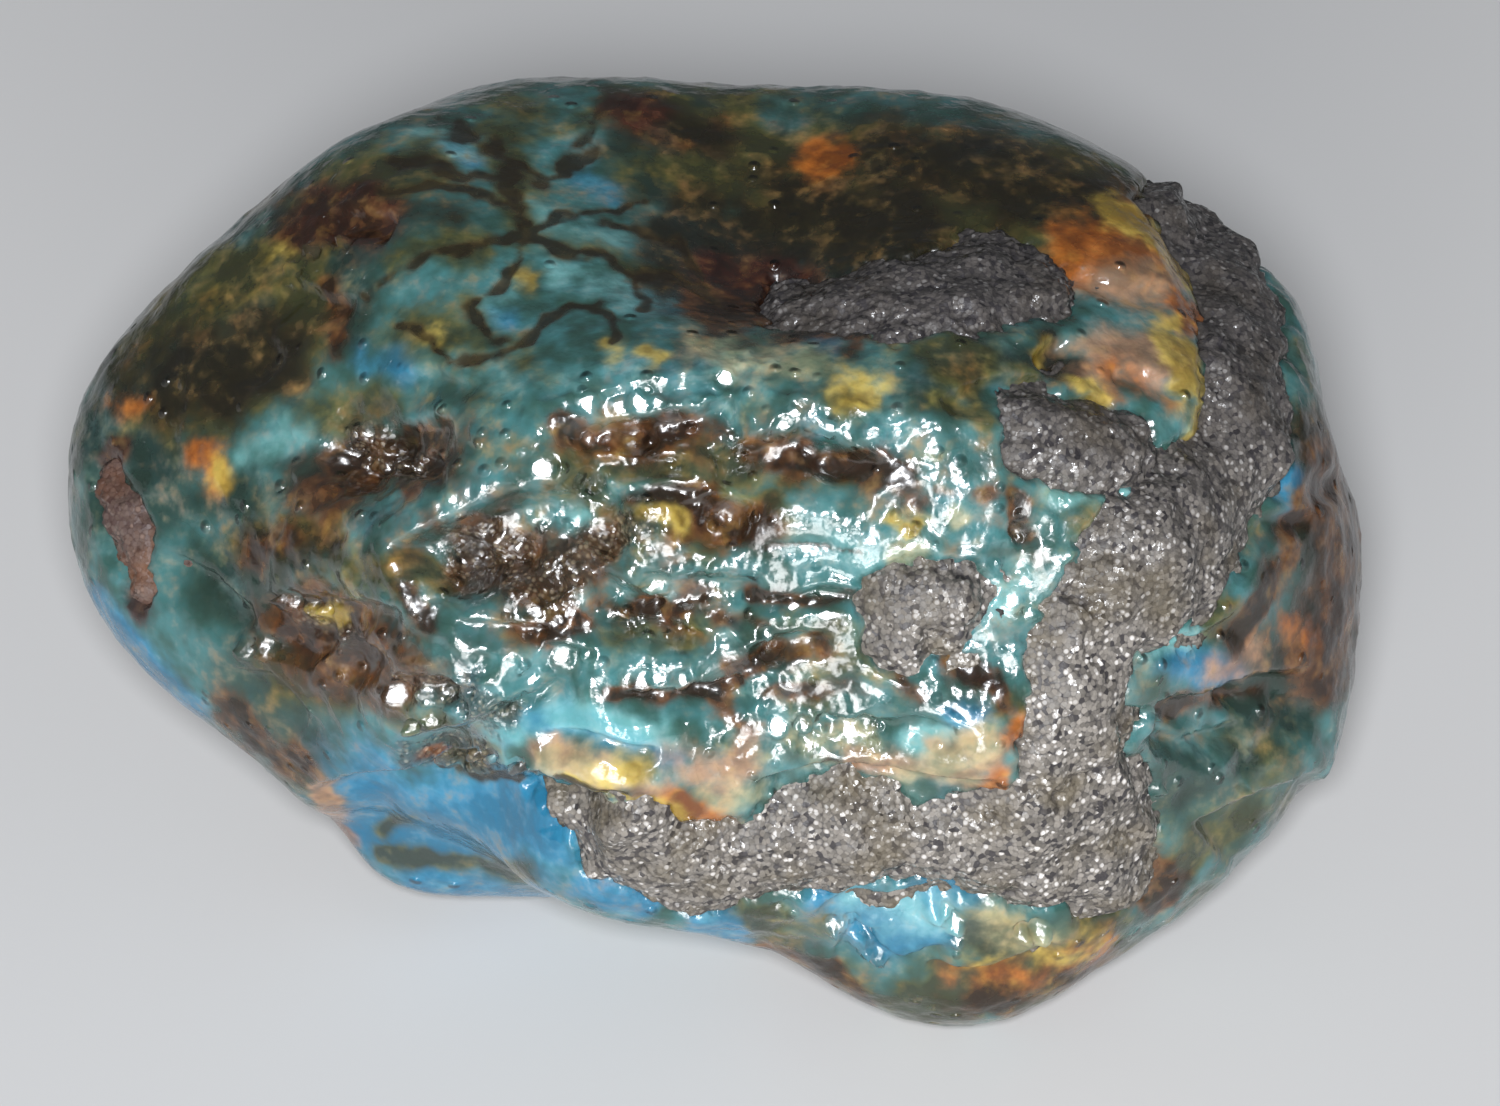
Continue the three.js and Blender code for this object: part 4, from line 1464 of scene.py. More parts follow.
@dataclass(frozen=True)
class AmberNodule:
    """The amber itself.

    Attributes:
        form: its smooth form.
        paint: where its tints lie.
        splits: splits of each edge of its net.
        front_bias: how far the net is gathered towards the display side.
        ledges: the small ledges that break up its display side.
        rough: where its surface is most broken.
        least_rough: how broken the rest of the display side is.
        calm: where its surface is smooth.
        calming: share of the breaks that is lost there.
        beaded: where it breaks into small rounded beads.
        bead: size and height of a bead.
        flats: rows of small flats along its lips.
        flat_seed: seed of the draws that scatter the flats.
        flat_cut: how far a flat may change the surface.
        flat_skirt: shares of its radius between which a flat fades out.
        flat_lift: how far a flat stands over the surface's mean, as a share of its radius.
        pits: small deep hollows, each with its radius and depth.
        crack_depth: depth of its cracks.
        chips: size and height of the chips that broke away.
        back_chip: size and height of the large chips of the sides and back.
        ripples: size and height of the fine ripples.
        waves: size and height of the waves over all of it.
        hollow_rind: strength of the rind in hollows, and the depths between which it comes.
        crest_pale: strength of the pale amber on crests, and the heights between which it comes.
        fade: out places between which the display side's small forms fade in.
        rough_fade: the same for how broken it is.
        finish: how it looks.
    """

    form: Form
    paint: AmberPaint
    splits: int = 99
    front_bias: float = 0.55
    ledges: tuple[Ledge, ...] = (
        Ledge("brow crest", ((-5.4, 5.6), (-3, 6.1), (-1, 6.6), (1.4, 7)), 0.5, 1.2, 0.35),
        Ledge("under brow", ((-5.6, 3.1), (-3, 3.3), (-0.8, 3.5)), 0.35, 1.2, 0.3),
        Ledge("olive shelf", ((-4.6, 2.2), (-2.4, 2.3), (0, 2.3)), 0.35, 1, 0.3),
        Ledge("core rim", ((-1.6, 1.5), (0, 1.9), (1.8, 1.5)), 0.45, 1.4, 0.3),
        Ledge("first arc", ((1.8, 0.1), (3.6, 0.4), (5.4, -0.2)), 0.1, 0.9, 0.45),
        Ledge("second arc", ((3, -0.9), (4.4, -0.7), (6.4, -1.4)), 0.12, 0.9, 0.45),
        Ledge("brown arc", ((1.6, -1.9), (3.6, -1.8), (5.8, -2)), 0.4, 1, 0.3),
        Ledge("low mid", ((-4.8, -2.9), (-2.4, -3.1), (0, -3.4)), 0.4, 1.2, 0.3),
        Ledge("rising edge", ((-8.6, -5.4), (-7, -4.9), (-6.6, -4.1), (-4.8, -4.1)), 0.5, 1.4, 0.35),
        Ledge("bright lip", ((-4, -5.4), (-2.2, -5.6), (0, -5.5), (1.2, -5)), 0.7, 1.5, 0.35),
        Ledge("wedge lip", ((1, -4.3), (2.4, -3.6), (4.6, -3.3)), 0.5, 1.2, 0.3),
        Ledge("left lip", ((-10.4, -3.1), (-8, -3.1), (-6.4, -3.5)), 0.5, 1.3, 0.3),
        Ledge("pit rim", ((-18.6, -1.9), (-16.4, -2.1), (-14, -2.2), (-12.2, -2.6)), 0.5, 1.6, 0.35),
        Ledge("grain rim", ((-12.8, -5.2), (-11, -5.2), (-9, -5.9)), 0.5, 1.4, 0.3),
        Ledge("left step", ((-22, -0.2), (-20, -1.2), (-18, -3.6)), 0.5, 1.8, 0.4),
        Ledge("low left step", ((-19.6, -5), (-17.6, -5.2), (-15.8, -7)), 0.4, 1.5, 0.35),
        Ledge("crown step", ((-18.8, 9.6), (-16.6, 10.3), (-13.8, 9.6)), 0.5, 1.6, 0.4),
        Ledge("knob step", ((-15.8, 12.6), (-14.2, 13.4), (-12.4, 12.8)), 0.6, 1.6, 0.4),
        Ledge("cheek line", ((-12.8, 6.4), (-11, 7), (-9, 6.4)), 0.4, 1.4, 0.35),
        Ledge("shelf edge", ((2.4, -6.8), (5, -7), (7.6, -6.7), (10.4, -7.4)), 0.6, 1.4, 0.35),
        Ledge("gold edge", ((-7, -7.4), (-4.4, -7.4), (-2, -8)), 0.4, 1.2, 0.3),
        Ledge("foot edge", ((4, -14), (7, -13.9), (9.6, -13.4)), 0.5, 1.6, 0.35),
        Ledge("foot fold", ((4.6, -15.6), (7.2, -16.2), (9.4, -15.8)), 0.6, 1.8, 0.4),
        Ledge("toe", ((8, -17), (11, -16.6), (14, -15.8)), 0.6, 1.6, 0.4),
        Ledge("lobe fold", ((16.8, -3.2), (19, -3.4), (21, -2.6)), 0.5, 1.6, 0.35),
        Ledge("lobe lip", ((17, -7.4), (19.4, -7.6), (21.4, -7)), 0.5, 1.4, 0.35),
        Ledge("right step", ((20.4, 0.4), (22, 1.4), (23.6, 1.2)), 0.4, 1.4, 0.35),
        Ledge("boss step", ((14, 11), (16, 10.4), (18, 10.2)), 0.5, 1.3, 0.35),
        Ledge("low boss step", ((15.4, 6.9), (17, 6.9), (18.6, 6.2)), 0.45, 1.2, 0.3),
        Ledge("island edge", ((8.6, 5.8), (11, 6.4), (13.6, 6.6)), 0.5, 1.5, 0.35),
    )
    rough: tuple[Stroke, ...] = (
        Stroke(((-14.5, 4), (-12.5, 3.6)), 3.0),
        Stroke(((-9.6, -0.6), (-6, -0.8)), 3.0),
        Stroke(((-16, -3.6), (-13.6, -4.2)), 2.6),
        Stroke(((-11.8, -5.8), (-8, -6.2)), 2.6),
        Stroke(((-5, 5.4), (-1, 6), (1, 6.4)), 1.4),
        Stroke(((-4, 1), (1, 1)), 2.2, 0.8),
        Stroke(((-4, -3), (0, -3.4)), 1.8),
        Stroke(((-3.4, -5.4), (1, -5)), 1.6),
        Stroke(((1, 4.8), (6, 4.4)), 1.8),
        Stroke(((2.6, -7.6), (6, -7.4)), 1.6),
        Stroke(((9.4, -4.6), (12, -5)), 1.8),
        Stroke(((7.4, 0.4), (9, -0.8)), 1.6, 0.8),
        Stroke(((5, -15), (9, -14.2)), 2.0, 0.8),
        Stroke(((17, -7.4), (21, -8)), 2.0, 0.8),
        Stroke(((10.8, -2), (12.6, 0.6)), 1.5, 0.9),
    )
    least_rough: float = 0.3
    calm: tuple[Stroke, ...] = (
        Stroke(((-14, -10.7), (-7.6, -11.2)), 3.0),
        Stroke(((-7.4, -6.8), (-2.4, -6.6)), 1.2),
        Stroke(((2.4, 0.2), (6, -0.8)), 1.4),
        Stroke(((-13, 7.4), (-8, 9), (-1, 9)), 2.0),
        Stroke(((-14, 13), (-6, 12), (4, 12.4), (13, 14)), 3.4),
        Stroke(((-22, -3), (-19, -5)), 2.4),
        Stroke(((5, -17.4), (13, -16.6)), 1.6),
    )
    calming: float = 0.85
    beaded: tuple[Stroke, ...] = (
        Stroke(((-5.4, 5.3), (-3, 5.4), (-1.6, 5.7), (0.8, 6.7)), 0.6),
        Stroke(((0.6, 4.3), (2.8, 4.9), (4.7, 4.8), (6.4, 4)), 0.7),
        Stroke(((-10.6, 1.3), (-8.6, 2.2), (-6.4, 3)), 0.7),
        Stroke(((-14.6, 4.6), (-13.5, 3.3), (-15, 2.4)), 0.6),
        Stroke(((-4.2, -1.2), (-2.2, -1.4), (1.6, -1)), 0.5),
        Stroke(((-4.6, -3), (-2, -3.1), (0.2, -3.4)), 0.4),
        Stroke(((-8.6, -5.4), (-7, -4.9), (-6.6, -4.2), (-4.8, -4.1)), 0.5),
        Stroke(((-3.4, -5), (-1.4, -5.2)), 0.7),
        Stroke(((1.4, -3.8), (2.4, -3.2), (4.8, -3.5)), 0.5),
        Stroke(((-12, -6.7), (-11, -5.5), (-8.6, -6.4)), 0.9),
        Stroke(((-18.5, -4.1), (-17.4, -4.1)), 0.6),
        Stroke(((-17.4, -2), (-15, -2.5)), 0.5),
        Stroke(((2.4, -7.9), (4, -7.3), (6.4, -7.4)), 0.8),
        Stroke(((10.7, -1.6), (11.8, -2.4), (13.4, -4)), 0.5),
        Stroke(((7.2, 0.1), (9.4, -0.7)), 0.7),
        Stroke(((12, -5.6), (12.4, -6.2)), 0.5),
        Stroke(((4.2, -15.2), (6.9, -16)), 0.7),
        Stroke(((8.8, -13.6), (9.2, -15)), 0.8),
        Stroke(((16.2, -7.4), (17, -6.4)), 0.6),
        Stroke(((-14.4, 14.4), (-15, 12.4)), 0.5),
        Stroke(((-17.6, 9.8), (-16, 9.7)), 0.4),
        Stroke(((-10.6, -8.2), (-9.3, -8.3)), 0.4),
    )
    bead: Point = (0.75, 0.15)
    flats: tuple[FlatRow, ...] = (
        FlatRow(((-5.3, 5.4), (-4, 5.3), (-1.8, 5.5)), 5, 0.5, 0.06),
        FlatRow(((-2.9, 6.1), (-1.2, 6.4)), 3, 0.36),
        FlatRow(((0, 5.9), (0.5, 6.7)), 2, 0.42, 0.05),
        FlatRow(((-7.6, 2.7), (-6.2, 3.1)), 4, 0.48),
        FlatRow(((-5.1, 3.9), (-4.9, 3.6)), 1, 0.3),
        FlatRow(((2.2, 4.2), (2.9, 4.9), (3.8, 5), (5.5, 4.1)), 8, 0.38),
        FlatRow(((0.3, 4.2), (0.7, 4)), 2, 0.3),
        FlatRow(((-3.6, -1.2), (-1.8, -1.7)), 4, 0.4),
        FlatRow(((-0.9, -0.7), (1.8, -0.9)), 4, 0.3),
        FlatRow(((-5.9, -2.6), (-4.2, -3), (-1, -3.2)), 6, 0.26),
        FlatRow(((1.6, -3.4), (3.2, -2), (4.8, -3.3)), 5, 0.3, 0.2),
        FlatRow(((6.9, 0.1), (7.4, -2.2)), 4, 0.36, 0.25),
        FlatRow(((-10.8, 1.5), (-8.4, 2.2)), 5, 0.3),
        FlatRow(((-9.2, -6.8), (-7.6, -5.8), (-6.4, -4.3), (-4.6, -4.1)), 8, 0.4, 0.15),
        FlatRow(((-3.6, -5.1), (-1.2, -5.3)), 5, 0.42, 0.15),
        FlatRow(((-12.2, -6.8), (-11.2, -5.6), (-9.6, -6.4)), 9, 0.46, 0.4),
        FlatRow(((-10.6, -8.2), (-9.3, -8.2), (-7.4, -8.6)), 4, 0.34),
        FlatRow(((-18.5, -4.1), (-17.5, -4.1)), 2, 0.4, 0.05),
        FlatRow(((-17.4, -2), (-14.8, -2.5)), 4, 0.34),
        FlatRow(((-14.8, 2.6), (-13.9, 4.7)), 3, 0.38, 0.2),
        FlatRow(((-13.6, 3.3), (-11, 3)), 4, 0.3, 0.3),
        FlatRow(((2.4, -7.8), (4, -7.2), (6.4, -7.5)), 11, 0.42, 0.35),
        FlatRow(((10.6, -1.7), (11.8, -2.3), (13.2, -4.1)), 5, 0.42, 0.15),
        FlatRow(((11.9, -5.2), (12.2, -6)), 2, 0.36),
        FlatRow(((16.2, -7.2), (16.9, -6.4)), 2, 0.46, 0.05),
        FlatRow(((16.8, -9), (17.4, -9.8)), 2, 0.3),
        FlatRow(((8.5, -13.9), (9.3, -14.4)), 3, 0.7, 0.15),
        FlatRow(((8.8, -14.2), (9.4, -15.4)), 3, 0.36),
        FlatRow(((4.2, -15), (6.9, -16.2)), 8, 0.42, 0.3),
        FlatRow(((-9.8, -0.6), (-6.2, -1)), 7, 0.22, 0.5),
        FlatRow(((-17, 9.8), (-14.6, 12.6)), 4, 0.26, 0.3),
        FlatRow(((6.6, 5.2), (9.6, 3.4)), 6, 0.26, 0.4),
        FlatRow(((17.4, -3.6), (19.4, -4.2)), 3, 0.26, 0.2),
        FlatRow(((18.2, -8), (21.6, -9.4)), 5, 0.26, 0.4),
        FlatRow(((11.8, -15), (12.6, -15.3)), 2, 0.42, 0.1),
    )
    flat_seed: int = 5
    flat_cut: float = 0.42
    flat_skirt: Point = (1.4, 0.9)
    flat_lift: float = 0.1
    pits: tuple[tuple[float, float, float, float], ...] = (
        (-14.6, 3.2, 1.1, 0.9), (-12.6, 3.9, 0.8, 0.6), (-11.4, 2.9, 0.6, 0.4),
        (-9.6, -1.2, 1.0, 0.8), (-7.8, -0.4, 0.9, 0.7), (-6.6, -1.6, 0.6, 0.5),
        (-16.4, -3.8, 1.0, 0.7), (-14.2, -4.8, 0.9, 0.7), (-10.6, -8.3, 0.9, 0.7),
        (0.4, 0.8, 0.9, 0.6), (-4.2, 0.3, 0.7, 0.4), (-2.6, -2.3, 0.6, 0.4),
        (4.8, 3.2, 0.8, 0.5), (-3.2, 4.1, 0.8, 0.5), (13.4, 7.4, 0.7, 0.9),
        (10, -5, 0.6, 0.25), (12.2, 0.4, 0.5, 0.6), (-10.8, -6, 0.6, 0.5),
        (20.6, -6.1, 0.6, 0.6), (2.4, -4.3, 0.6, 0.5),
        (24.4, 2.2, 0.8, 0.5), (-18.6, 7.4, 1.2, 0.4), (7.6, 1.4, 0.5, 0.4),
    )
    crack_depth: float = 0.06
    chips: tuple[Point, ...] = ((3.4, 0.55), (1.5, 0.42), (0.7, 0.22))
    back_chip: Point = (7.5, 0.8)
    ripples: tuple[Point, ...] = ((1.1, 0.12), (0.5, 0.07))
    waves: Point = (3, 0.1)
    hollow_rind: tuple[float, float, float] = (0.6, 0.55, 1.2)
    crest_pale: tuple[float, float, float] = (0.14, -0.25, 0.05)
    fade: Point = (-5, -1)
    rough_fade: Point = (-6, -1)
    finish: AmberFinish = AmberFinish()

    def roughness(self, places: Array, grain: Grain) -> Array:
        """Works out how broken the surface is.

        Args:
            places: rows of right, up and out.
            grain: the noise that the back follows.

        Returns:
            A share for each place, from 0 to 1.
        """
        front = smooth(*self.rough_fade, places[:, 2])
        broken = self.least_rough + (1 - self.least_rough) * covered(self.rough, places)
        calmed = broken * (1 - self.calming * covered(self.calm, places))
        wild = 0.25 + 0.6 * smooth(-0.1, 0.3, grain.layers(places + 45, 9, 3))
        return calmed * front + wild * (1 - front)

    def relief(self, places: Array, fields: Mapping[str, Array], grain: Grain) -> Array:
        """Height of the small forms.

        Args:
            places: places on the smooth form.
            fields: the amber's tints.
            grain: the noise that shapes the chips.

        Returns:
            The height at each place, mostly below zero.
        """
        rough = self.roughness(places, grain)
        front = smooth(*self.fade, places[:, 2])
        height = np.zeros(len(places))
        bent = places + bend_by(places, grain, 2.2)
        for size, drop in self.chips:
            near, _, pick = grain.cells(bent + size * 3, size)
            height += drop * rough * dish(near, 0.9) * (0.35 + 0.65 * pick)
        size, drop = self.back_chip
        near, _, pick = grain.cells(bent + 40, size)
        height += drop * (1 - front) * dish(near, 0.8) * (0.3 + 0.7 * pick)
        for size, rise in self.ripples:
            height += rise * rough * grain.layers(places, size, 2)
        size, rise = self.waves
        height += rise * grain.layers(places, size, 3)
        for ledge in self.ledges:
            height -= ledge.sink(bent) * front
        for right, up, radius, depth in self.pits:
            away = np.hypot(bent[:, 0] - right, bent[:, 1] - up)
            height -= depth * np.exp(-(away / radius) ** 4) * front
        beaded = 0.15 * rough + covered(self.beaded, bent)
        size, rise = self.bead
        near, _, pick = grain.cells(places + 5, size)
        bulge = (1 - np.minimum(near, 0.9) ** 2) * (0.4 + 0.6 * pick)
        height += rise * np.minimum(beaded, 1) * front * bulge
        return height - self.crack_depth * smooth(0.3, 0.9, fields[Tint.CRACK.value])

    def levelled(self, directions: Array, reach: Array) -> tuple[Array, Array]:
        """Cuts the small flats.

        Args:
            directions: directions from the middle.
            reach: distance of the surface along each of them.

        Returns:
            The distances with the flats cut, and how much of a flat lies at each.
        """
        random = np.random.default_rng(self.flat_seed)
        outer, inner = self.flat_skirt
        places = directions * reach[:, None]
        result = reach.copy()
        flat = np.zeros(len(reach))
        for row in self.flats:
            for right, up, radius in row.flats(random):
                away = np.hypot(places[:, 0] - right, places[:, 1] - up)
                near = (away < outer * radius) & (places[:, 2] > 0)
                level = places[near, 2].mean() + self.flat_lift * radius
                share = smooth(outer * radius, inner * radius, away[near])
                change = level / directions[near, 2] - result[near]
                result[near] += share * np.clip(change, -self.flat_cut, self.flat_cut)
                flat[near] = np.maximum(flat[near], share)
        return result, flat

    def build(self, crusts: Sequence[Crust], box: Box, grain: Grain) -> bpy.types.Object:
        """Builds the amber.

        Args:
            crusts: the crusts that sit in it.
            box: the space that it must keep to.
            grain: the noise that shapes it.

        Returns:
            The new piece.
        """
        directions, triangles = Geodesic(self.splits, self.front_bias).patch()
        reach = self.form.reach(directions)
        places = directions * reach[:, None]
        fields = self.paint.fields(places, grain)
        fields["broken"] = self.roughness(places, grain)
        relief = self.relief(places, fields, grain)
        strength, *depths = self.hollow_rind
        fields[Tint.RIND.value] += strength * smooth(*depths, -relief) * fields["broken"]
        strength, *heights = self.crest_pale
        fields[Tint.PALE.value] += strength * smooth(*heights, relief) * fields["broken"]
        reach, fields["flat"] = self.levelled(directions, reach + relief)
        for crust in crusts:
            reach -= crust.bed(places, grain)
        corners = box.clipped(DISPLAY.to_row(directions * reach[:, None]))
        piece = new_piece("amber_lump", corners, triangles, fields)
        dress(piece, self.finish.material("blue_amber"), "amber_nodule")
        return piece


# ---- The crusts ----


@dataclass(frozen=True)
class Crust:
    """A crust of sandstone that lies on the amber.

    Attributes:
        node: the solid that it stands for.
        slot: the record's slot that its finish belongs to; not used.
        chain: right, up, half width and the lowest out place that it reaches, along its middle.
        form: the amber's smooth form.
        finish: how it looks.
        splits: splits of each edge of its net.
        rise: how far it stands over the amber.
        sunk: how far its top lies in the amber at its edge.
        seat: how deep the amber lies under it.
        sill: distances from the edge between which the amber sinks to that.
        slope: distances from the edge between which it rises.
        lumps: lengths of its lumps and their height.
        depth: how far it reaches into the amber.
        ragged: length and depth of its edge's wandering.
        pebbles: size and height of its lumps of grains and of its grains.
        dents: size and depth of its dents.
        margin: how far beyond the edge its net reaches.
        painted_shade_rise: up places between which painted shade darkens the stone towards its top.
    """

    node: str
    slot: str
    chain: Chain
    form: Form
    finish: SandstoneFinish = SandstoneFinish()
    splits: int = 170
    rise: float = 0.5
    sunk: float = 0.55
    seat: float = 0.9
    sill: Point = (0.6, -0.4)
    slope: Point = (0.65, -1.0)
    lumps: tuple[tuple[float, float], float] = ((4.1, 2.6), 0.28)
    depth: float = 1.2
    ragged: Point = (1.8, 0.9)
    pebbles: tuple[Point, ...] = ((1.3, 0.2), (0.34, 0.06))
    dents: Point = (1.5, 0.3)
    margin: float = 1.0
    painted_shade_rise: Point = (-7, 8.5)

    REACHED = 3  # distance from the chain beyond which the wandering makes no difference

    def outside(self, places: Array, grain: Grain) -> Array:
        """Measures places against the crust's ragged edge.

        Args:
            places: rows of right, up and out.
            grain: the noise that makes the edge ragged.

        Returns:
            The distance of each place from the edge, negative inside it.
        """
        nearest = np.full(len(places), np.inf)
        for start, end in itertools.pairwise(np.array(self.chain)):
            step = (end - start)[:2]
            offset = places[:, :2] - start[:2]
            t = np.clip(offset @ step / (step @ step), 0, 1)
            away = np.linalg.norm(offset - t[:, None] * step, axis=1)
            half, back = start[2:, None] + (end - start)[2:, None] * t
            nearest = np.minimum(nearest, np.maximum(away - half, (back - places[:, 2]) * 0.7))
        near = nearest < self.REACHED
        length, depth = self.ragged
        wander = np.zeros(len(places))
        wander[near] = grain.layers(places[near], length, 4, 0.6)
        return nearest + depth * wander

    def bed(self, places: Array, grain: Grain) -> Array:
        """How deep the amber lies under the crust at each place."""
        return self.seat * smooth(*self.sill, self.outside(places, grain))

    def build(self, box: Box, grain: Grain) -> bpy.types.Object:
        """Builds the crust.

        Args:
            box: the space that it must keep to.
            grain: the noise that shapes it.

        Returns:
            The new piece.
        """
        def near(directions: Array) -> Array:
            """Picks the directions that meet the crust."""
            places = directions * self.form.faces_reach(directions)[:, None]
            return self.outside(places, grain) < self.margin

        directions, triangles = Geodesic(self.splits).patch(near)
        smooth_reach = self.form.reach(directions)
        places = directions * smooth_reach[:, None]
        inside = smooth(*self.slope, self.outside(places, grain))
        top = smooth_reach - self.sunk + (self.rise + self.sunk) * inside
        lengths, height = self.lumps
        for length in lengths:
            top += height * self.form.ripple(places, length) * inside
        for size, drop in self.pebbles:
            dist, _, pick = grain.cells(places, size)
            gap = dish(dist, 0.75)
            top -= drop * (gap * (0.3 + 0.7 * pick) + 0.7)
            hollow = 1 + gap
        size, drop = self.dents
        dents = smooth(0.25, 0.6, grain.layers(places + 13, size, 3))
        top -= drop * dents
        bottom = smooth_reach - self.depth
        shell, sheet = closed_shell(directions * top[:, None], directions * bottom[:, None], triangles)
        # how low each place lies, which the stone's finish paints as shade
        hollow = hollow * 0.6 + dents * 0.5
        # painted shade, growing towards the top
        painted_shade = smooth(*self.painted_shade_rise, places[:, 1])
        fields = {"hollow": np.tile(hollow, 2), "painted_shade": np.tile(painted_shade, 2)}
        piece = new_piece(f"{self.node}_crust", box.clipped(DISPLAY.to_row(shell)), sheet, fields)
        dress(piece, self.finish.material(f"{self.node}_stone"), self.node)
        return piece


@dataclass(frozen=True)
class Box:
    """The space that the specimen fills, in millimetres of the row frame."""

    low: Array
    high: Array

    def clipped(self, corners: Array) -> Array:
        """Keeps corners inside the space."""
        return np.clip(corners, self.low, self.high)


# ---- The studio ----


class LightKind(Enum):
    """Shapes of lamp."""

    SQUARE = "SQUARE"
    DISK = "DISK"


@dataclass(frozen=True)
class Lamp:
    """A soft lamp that looks at the specimen.

    Attributes:
        name: its name.
        at: its place in metres.
        size: its width in metres.
        watts: its power.
        kind: its shape.
        colour: the colour of its light.
    """

    name: str
    at: tuple[float, float, float]
    size: float
    watts: float
    kind: LightKind = LightKind.SQUARE
    colour: Colour = (1, 1, 1)

    def build(self, target: Vector) -> None:
        """Hangs the lamp, aimed at the target.

        Args:
            target: the place that it looks at, in metres.
        """
        data = bpy.data.lights.new(self.name, "AREA")
        data.shape = self.kind.value
        data.size = self.size
        data.energy = self.watts
        data.color = self.colour
        lamp = placed(self.name, data)
        lamp.location = self.at
        lamp.rotation_euler = (target - lamp.location).to_track_quat("-Z", "Y").to_euler()


@dataclass(frozen=True)
class Studio:
    """A pale floor, soft lamps and the camera.

    Attributes:
        focal: focal length of the lens, in millimetres.
        sensor: width of the camera's sensor, in millimetres.
        view_width: width of the view at the specimen, in millimetres.
        nearest: distance from which the camera sees, in millimetres.
        aim: right and up of the view's middle.
        floor_size: width of the floor in metres.
        floor_colour: colour of the floor.
        floor_roughness: roughness of the floor.
        sky: colour of the light all round.
        ambient: strength of the light all round.
        lamps: the lamps.
    """

    focal: float = 250
    sensor: float = 36
    view_width: float = 60.2
    nearest: float = 10
    aim: Point = (1.325, -0.32)
    floor_size: float = 3.0
    floor_colour: Colour = (0.58, 0.57, 0.56)
    floor_roughness: float = 0.8
    sky: Colour = (0.9, 0.95, 1)
    ambient: float = 0.14
    lamps: tuple[Lamp, ...] = (
        Lamp("key", (-0.05, -0.56, 0.13), 0.22, 2.3),
        Lamp("glint", (-0.005, -0.42, 0.344), 0.09, 3.8, LightKind.DISK, (0.92, 0.95, 1)),
    )

    def build(self) -> None:
        """Sets up the floor, the lamps and the camera."""
        self._floor()
        self._surroundings()
        target = Vector(DISPLAY.to_row(np.array([[*self.aim, 0.0]]))[0] * MM)
        for lamp in self.lamps:
            lamp.build(target)
        self._camera(target)

    def _floor(self) -> None:
        """Lays the floor."""
        half = self.floor_size / 2
        mesh = bpy.data.meshes.new("floor")
        corners = [(-half, -half, 0), (half, -half, 0), (half, half, 0), (-half, half, 0)]
        mesh.from_pydata(corners, [], [(0, 1, 2, 3)])
        floor = placed("floor", mesh)
        shader = Shader("floor_paint")
        sockets = {"Base Color": self.floor_colour, "Roughness": self.floor_roughness}
        mesh.materials.append(shader.finish(shader.node("BsdfPrincipled", {}, sockets)))
        floor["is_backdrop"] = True

    def _surroundings(self) -> None:
        """Fills the surroundings with soft light."""
        world = bpy.data.worlds.new("soft_light")
        world.use_nodes = True
        background = world.node_tree.nodes["Background"]
        background.inputs["Color"].default_value = (*self.sky, 1)
        background.inputs["Strength"].default_value = self.ambient
        bpy.context.scene.world = world
        bpy.context.scene.view_settings.view_transform = "Standard"

    def _camera(self, target: Vector) -> None:
        """Stands the camera square on to the display face.

        Args:
            target: the place at the middle of its view, in metres.
        """
        data = bpy.data.cameras.new("camera")
        data.lens = self.focal
        data.sensor_width = self.sensor
        data.clip_start = self.nearest * MM
        camera = placed("camera", data)
        distance = self.view_width * self.focal / self.sensor * MM
        rise = math.radians(DISPLAY.rise)
        camera.location = target + Vector((0, -math.cos(rise), math.sin(rise))) * distance
        camera.rotation_euler = (math.pi / 2 - rise, 0, 0)
        bpy.context.scene.camera = camera


# ---- The specimen ----

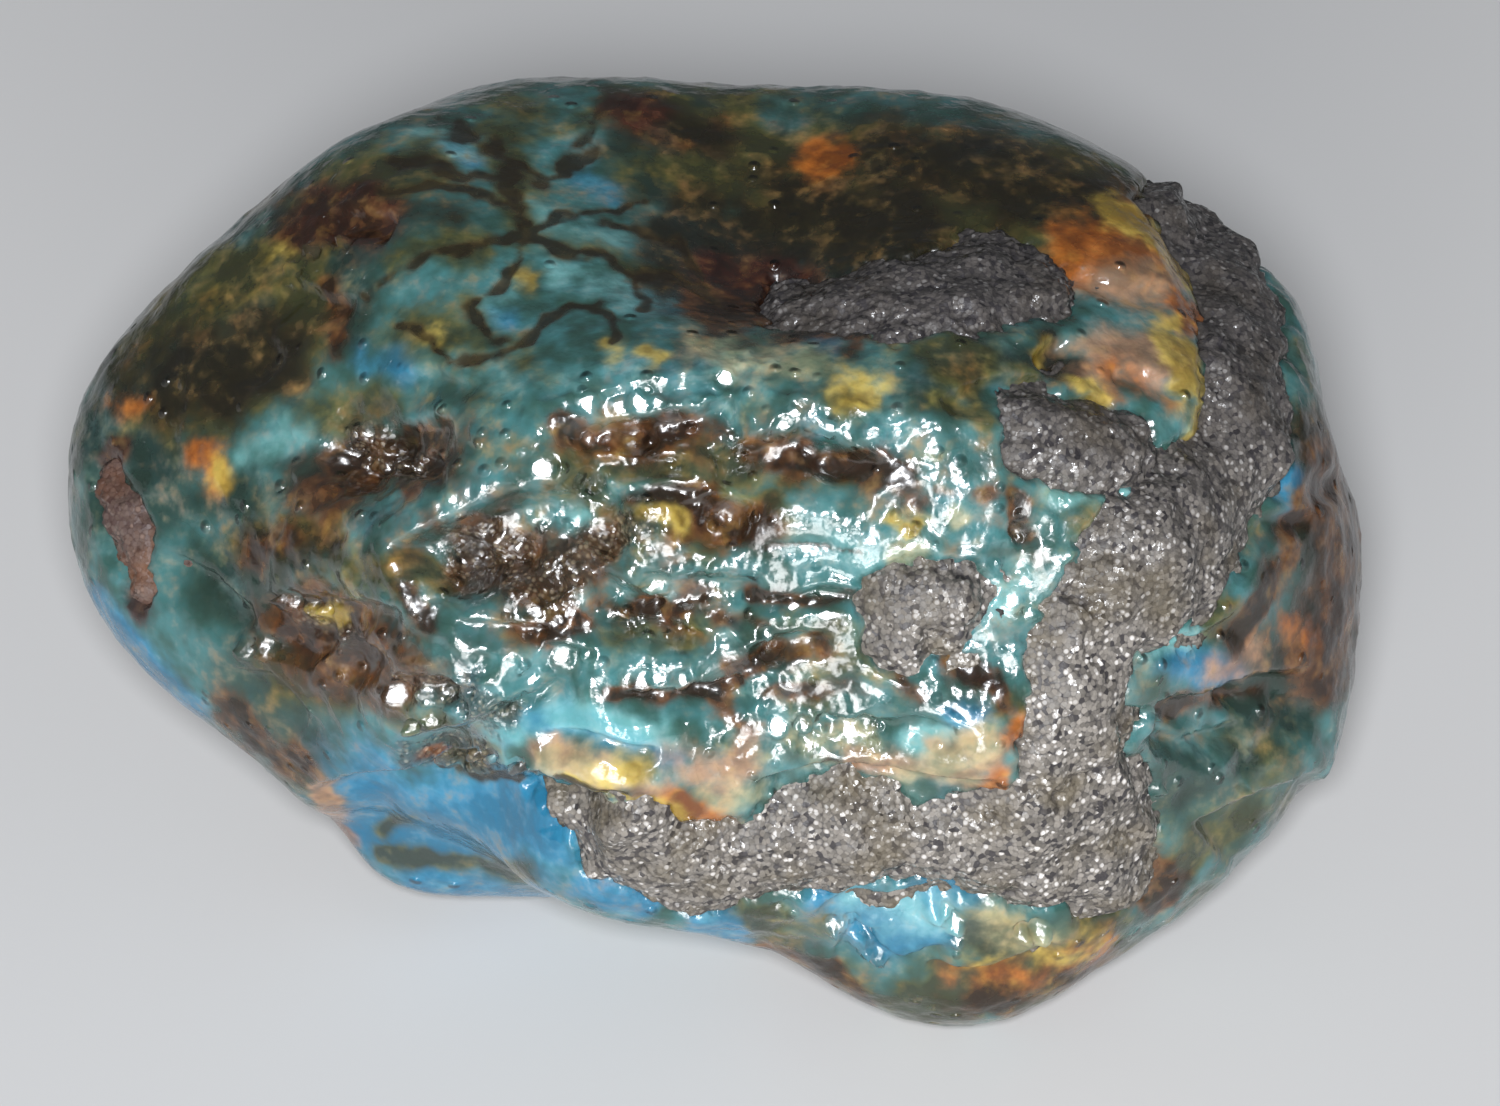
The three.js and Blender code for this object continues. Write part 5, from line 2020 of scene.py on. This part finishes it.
CHAINS: Mapping[str, Chain] = {
    "matrix_band": (
        (18.0, 13.8, 0.9, -4), (20.3, 11.5, 1.3, -4), (21.1, 8.5, 1.5, -4), (21.2, 5.5, 1.6, -3),
        (20.6, 3.0, 1.8, 0), (17.4, -0.6, 2.8, 3), (15.0, -3.4, 1.9, 3), (14.3, -5.6, 1.8, 3),
        (14.3, -8.2, 1.9, 4), (14.9, -11.8, 2.7, 4), (12.4, -11.9, 2.3, 4), (8.2, -11.8, 1.3, 6),
        (5.2, -11.3, 2.1, 6), (1.6, -12.6, 1.4, 6), (-1.2, -12.9, 1.6, 6), (-3.6, -11.9, 1.8, 6),
        (-5.4, -10.5, 0.9, 6), (-7.0, -9.6, 0.2, 6),
    ),
    "matrix_top_patch": ((3.0, 9.6, 1.0, 3), (7.4, 9.8, 1.4, 3), (11.0, 10.5, 1.9, 3), (13.3, 9.9, 0.9, 3)),
    "matrix_upper_patch": ((12.9, 4.3, 1.6, 4), (15.8, 3.7, 1.4, 4)),
    "matrix_middle_patch": ((9.1, -2.3, 1.5, 4), (7.6, -2.5, 1.7, 4), (7.3, -3.6, 1.2, 4)),
    "matrix_left_strip": ((-24.2, 2.6, 0.5, -3), (-23.6, 0.6, 0.6, -3), (-23.1, -1.6, 0.4, -3)),
}

PINK_STONE = SandstoneFinish(
    base=linear(80, 65, 60),
    grain=linear(104, 88, 80),
    pale=linear(132, 112, 102),
    dark=linear(54, 34, 29),
    stain=linear(112, 72, 42),
)


def crust_of(node: str, form: Form) -> Crust:
    """Makes the crust that stands for a node: pink at the left end and grey elsewhere.

    Args:
        node: the solid that the crust stands for.
        form: the amber's smooth form.

    Returns:
        The crust.
    """
    if node == "matrix_left_strip":
        return Crust(node, "pink_crust", CHAINS[node], form, PINK_STONE)
    return Crust(node, "sandstone", CHAINS[node], form)


def main() -> None:
    """Builds the specimen and the studio."""
    logging.basicConfig(level=logging.INFO, format="%(message)s")
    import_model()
    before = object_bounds()
    box = Box(*(np.array(corner) / MM for corner in before))
    grain = Grain(seed=11)
    form = Form()
    crusts = [crust_of(node, form) for node in CHAINS]
    pieces = [AmberNodule(form, AmberPaint()).build(crusts, box, grain)]
    pieces += [crust.build(box, grain) for crust in crusts]
    for piece in pieces:
        log.info("%s: %d triangles", piece.name, len(piece.data.polygons))
    Studio().build()


if __name__ == "__main__":
    main()
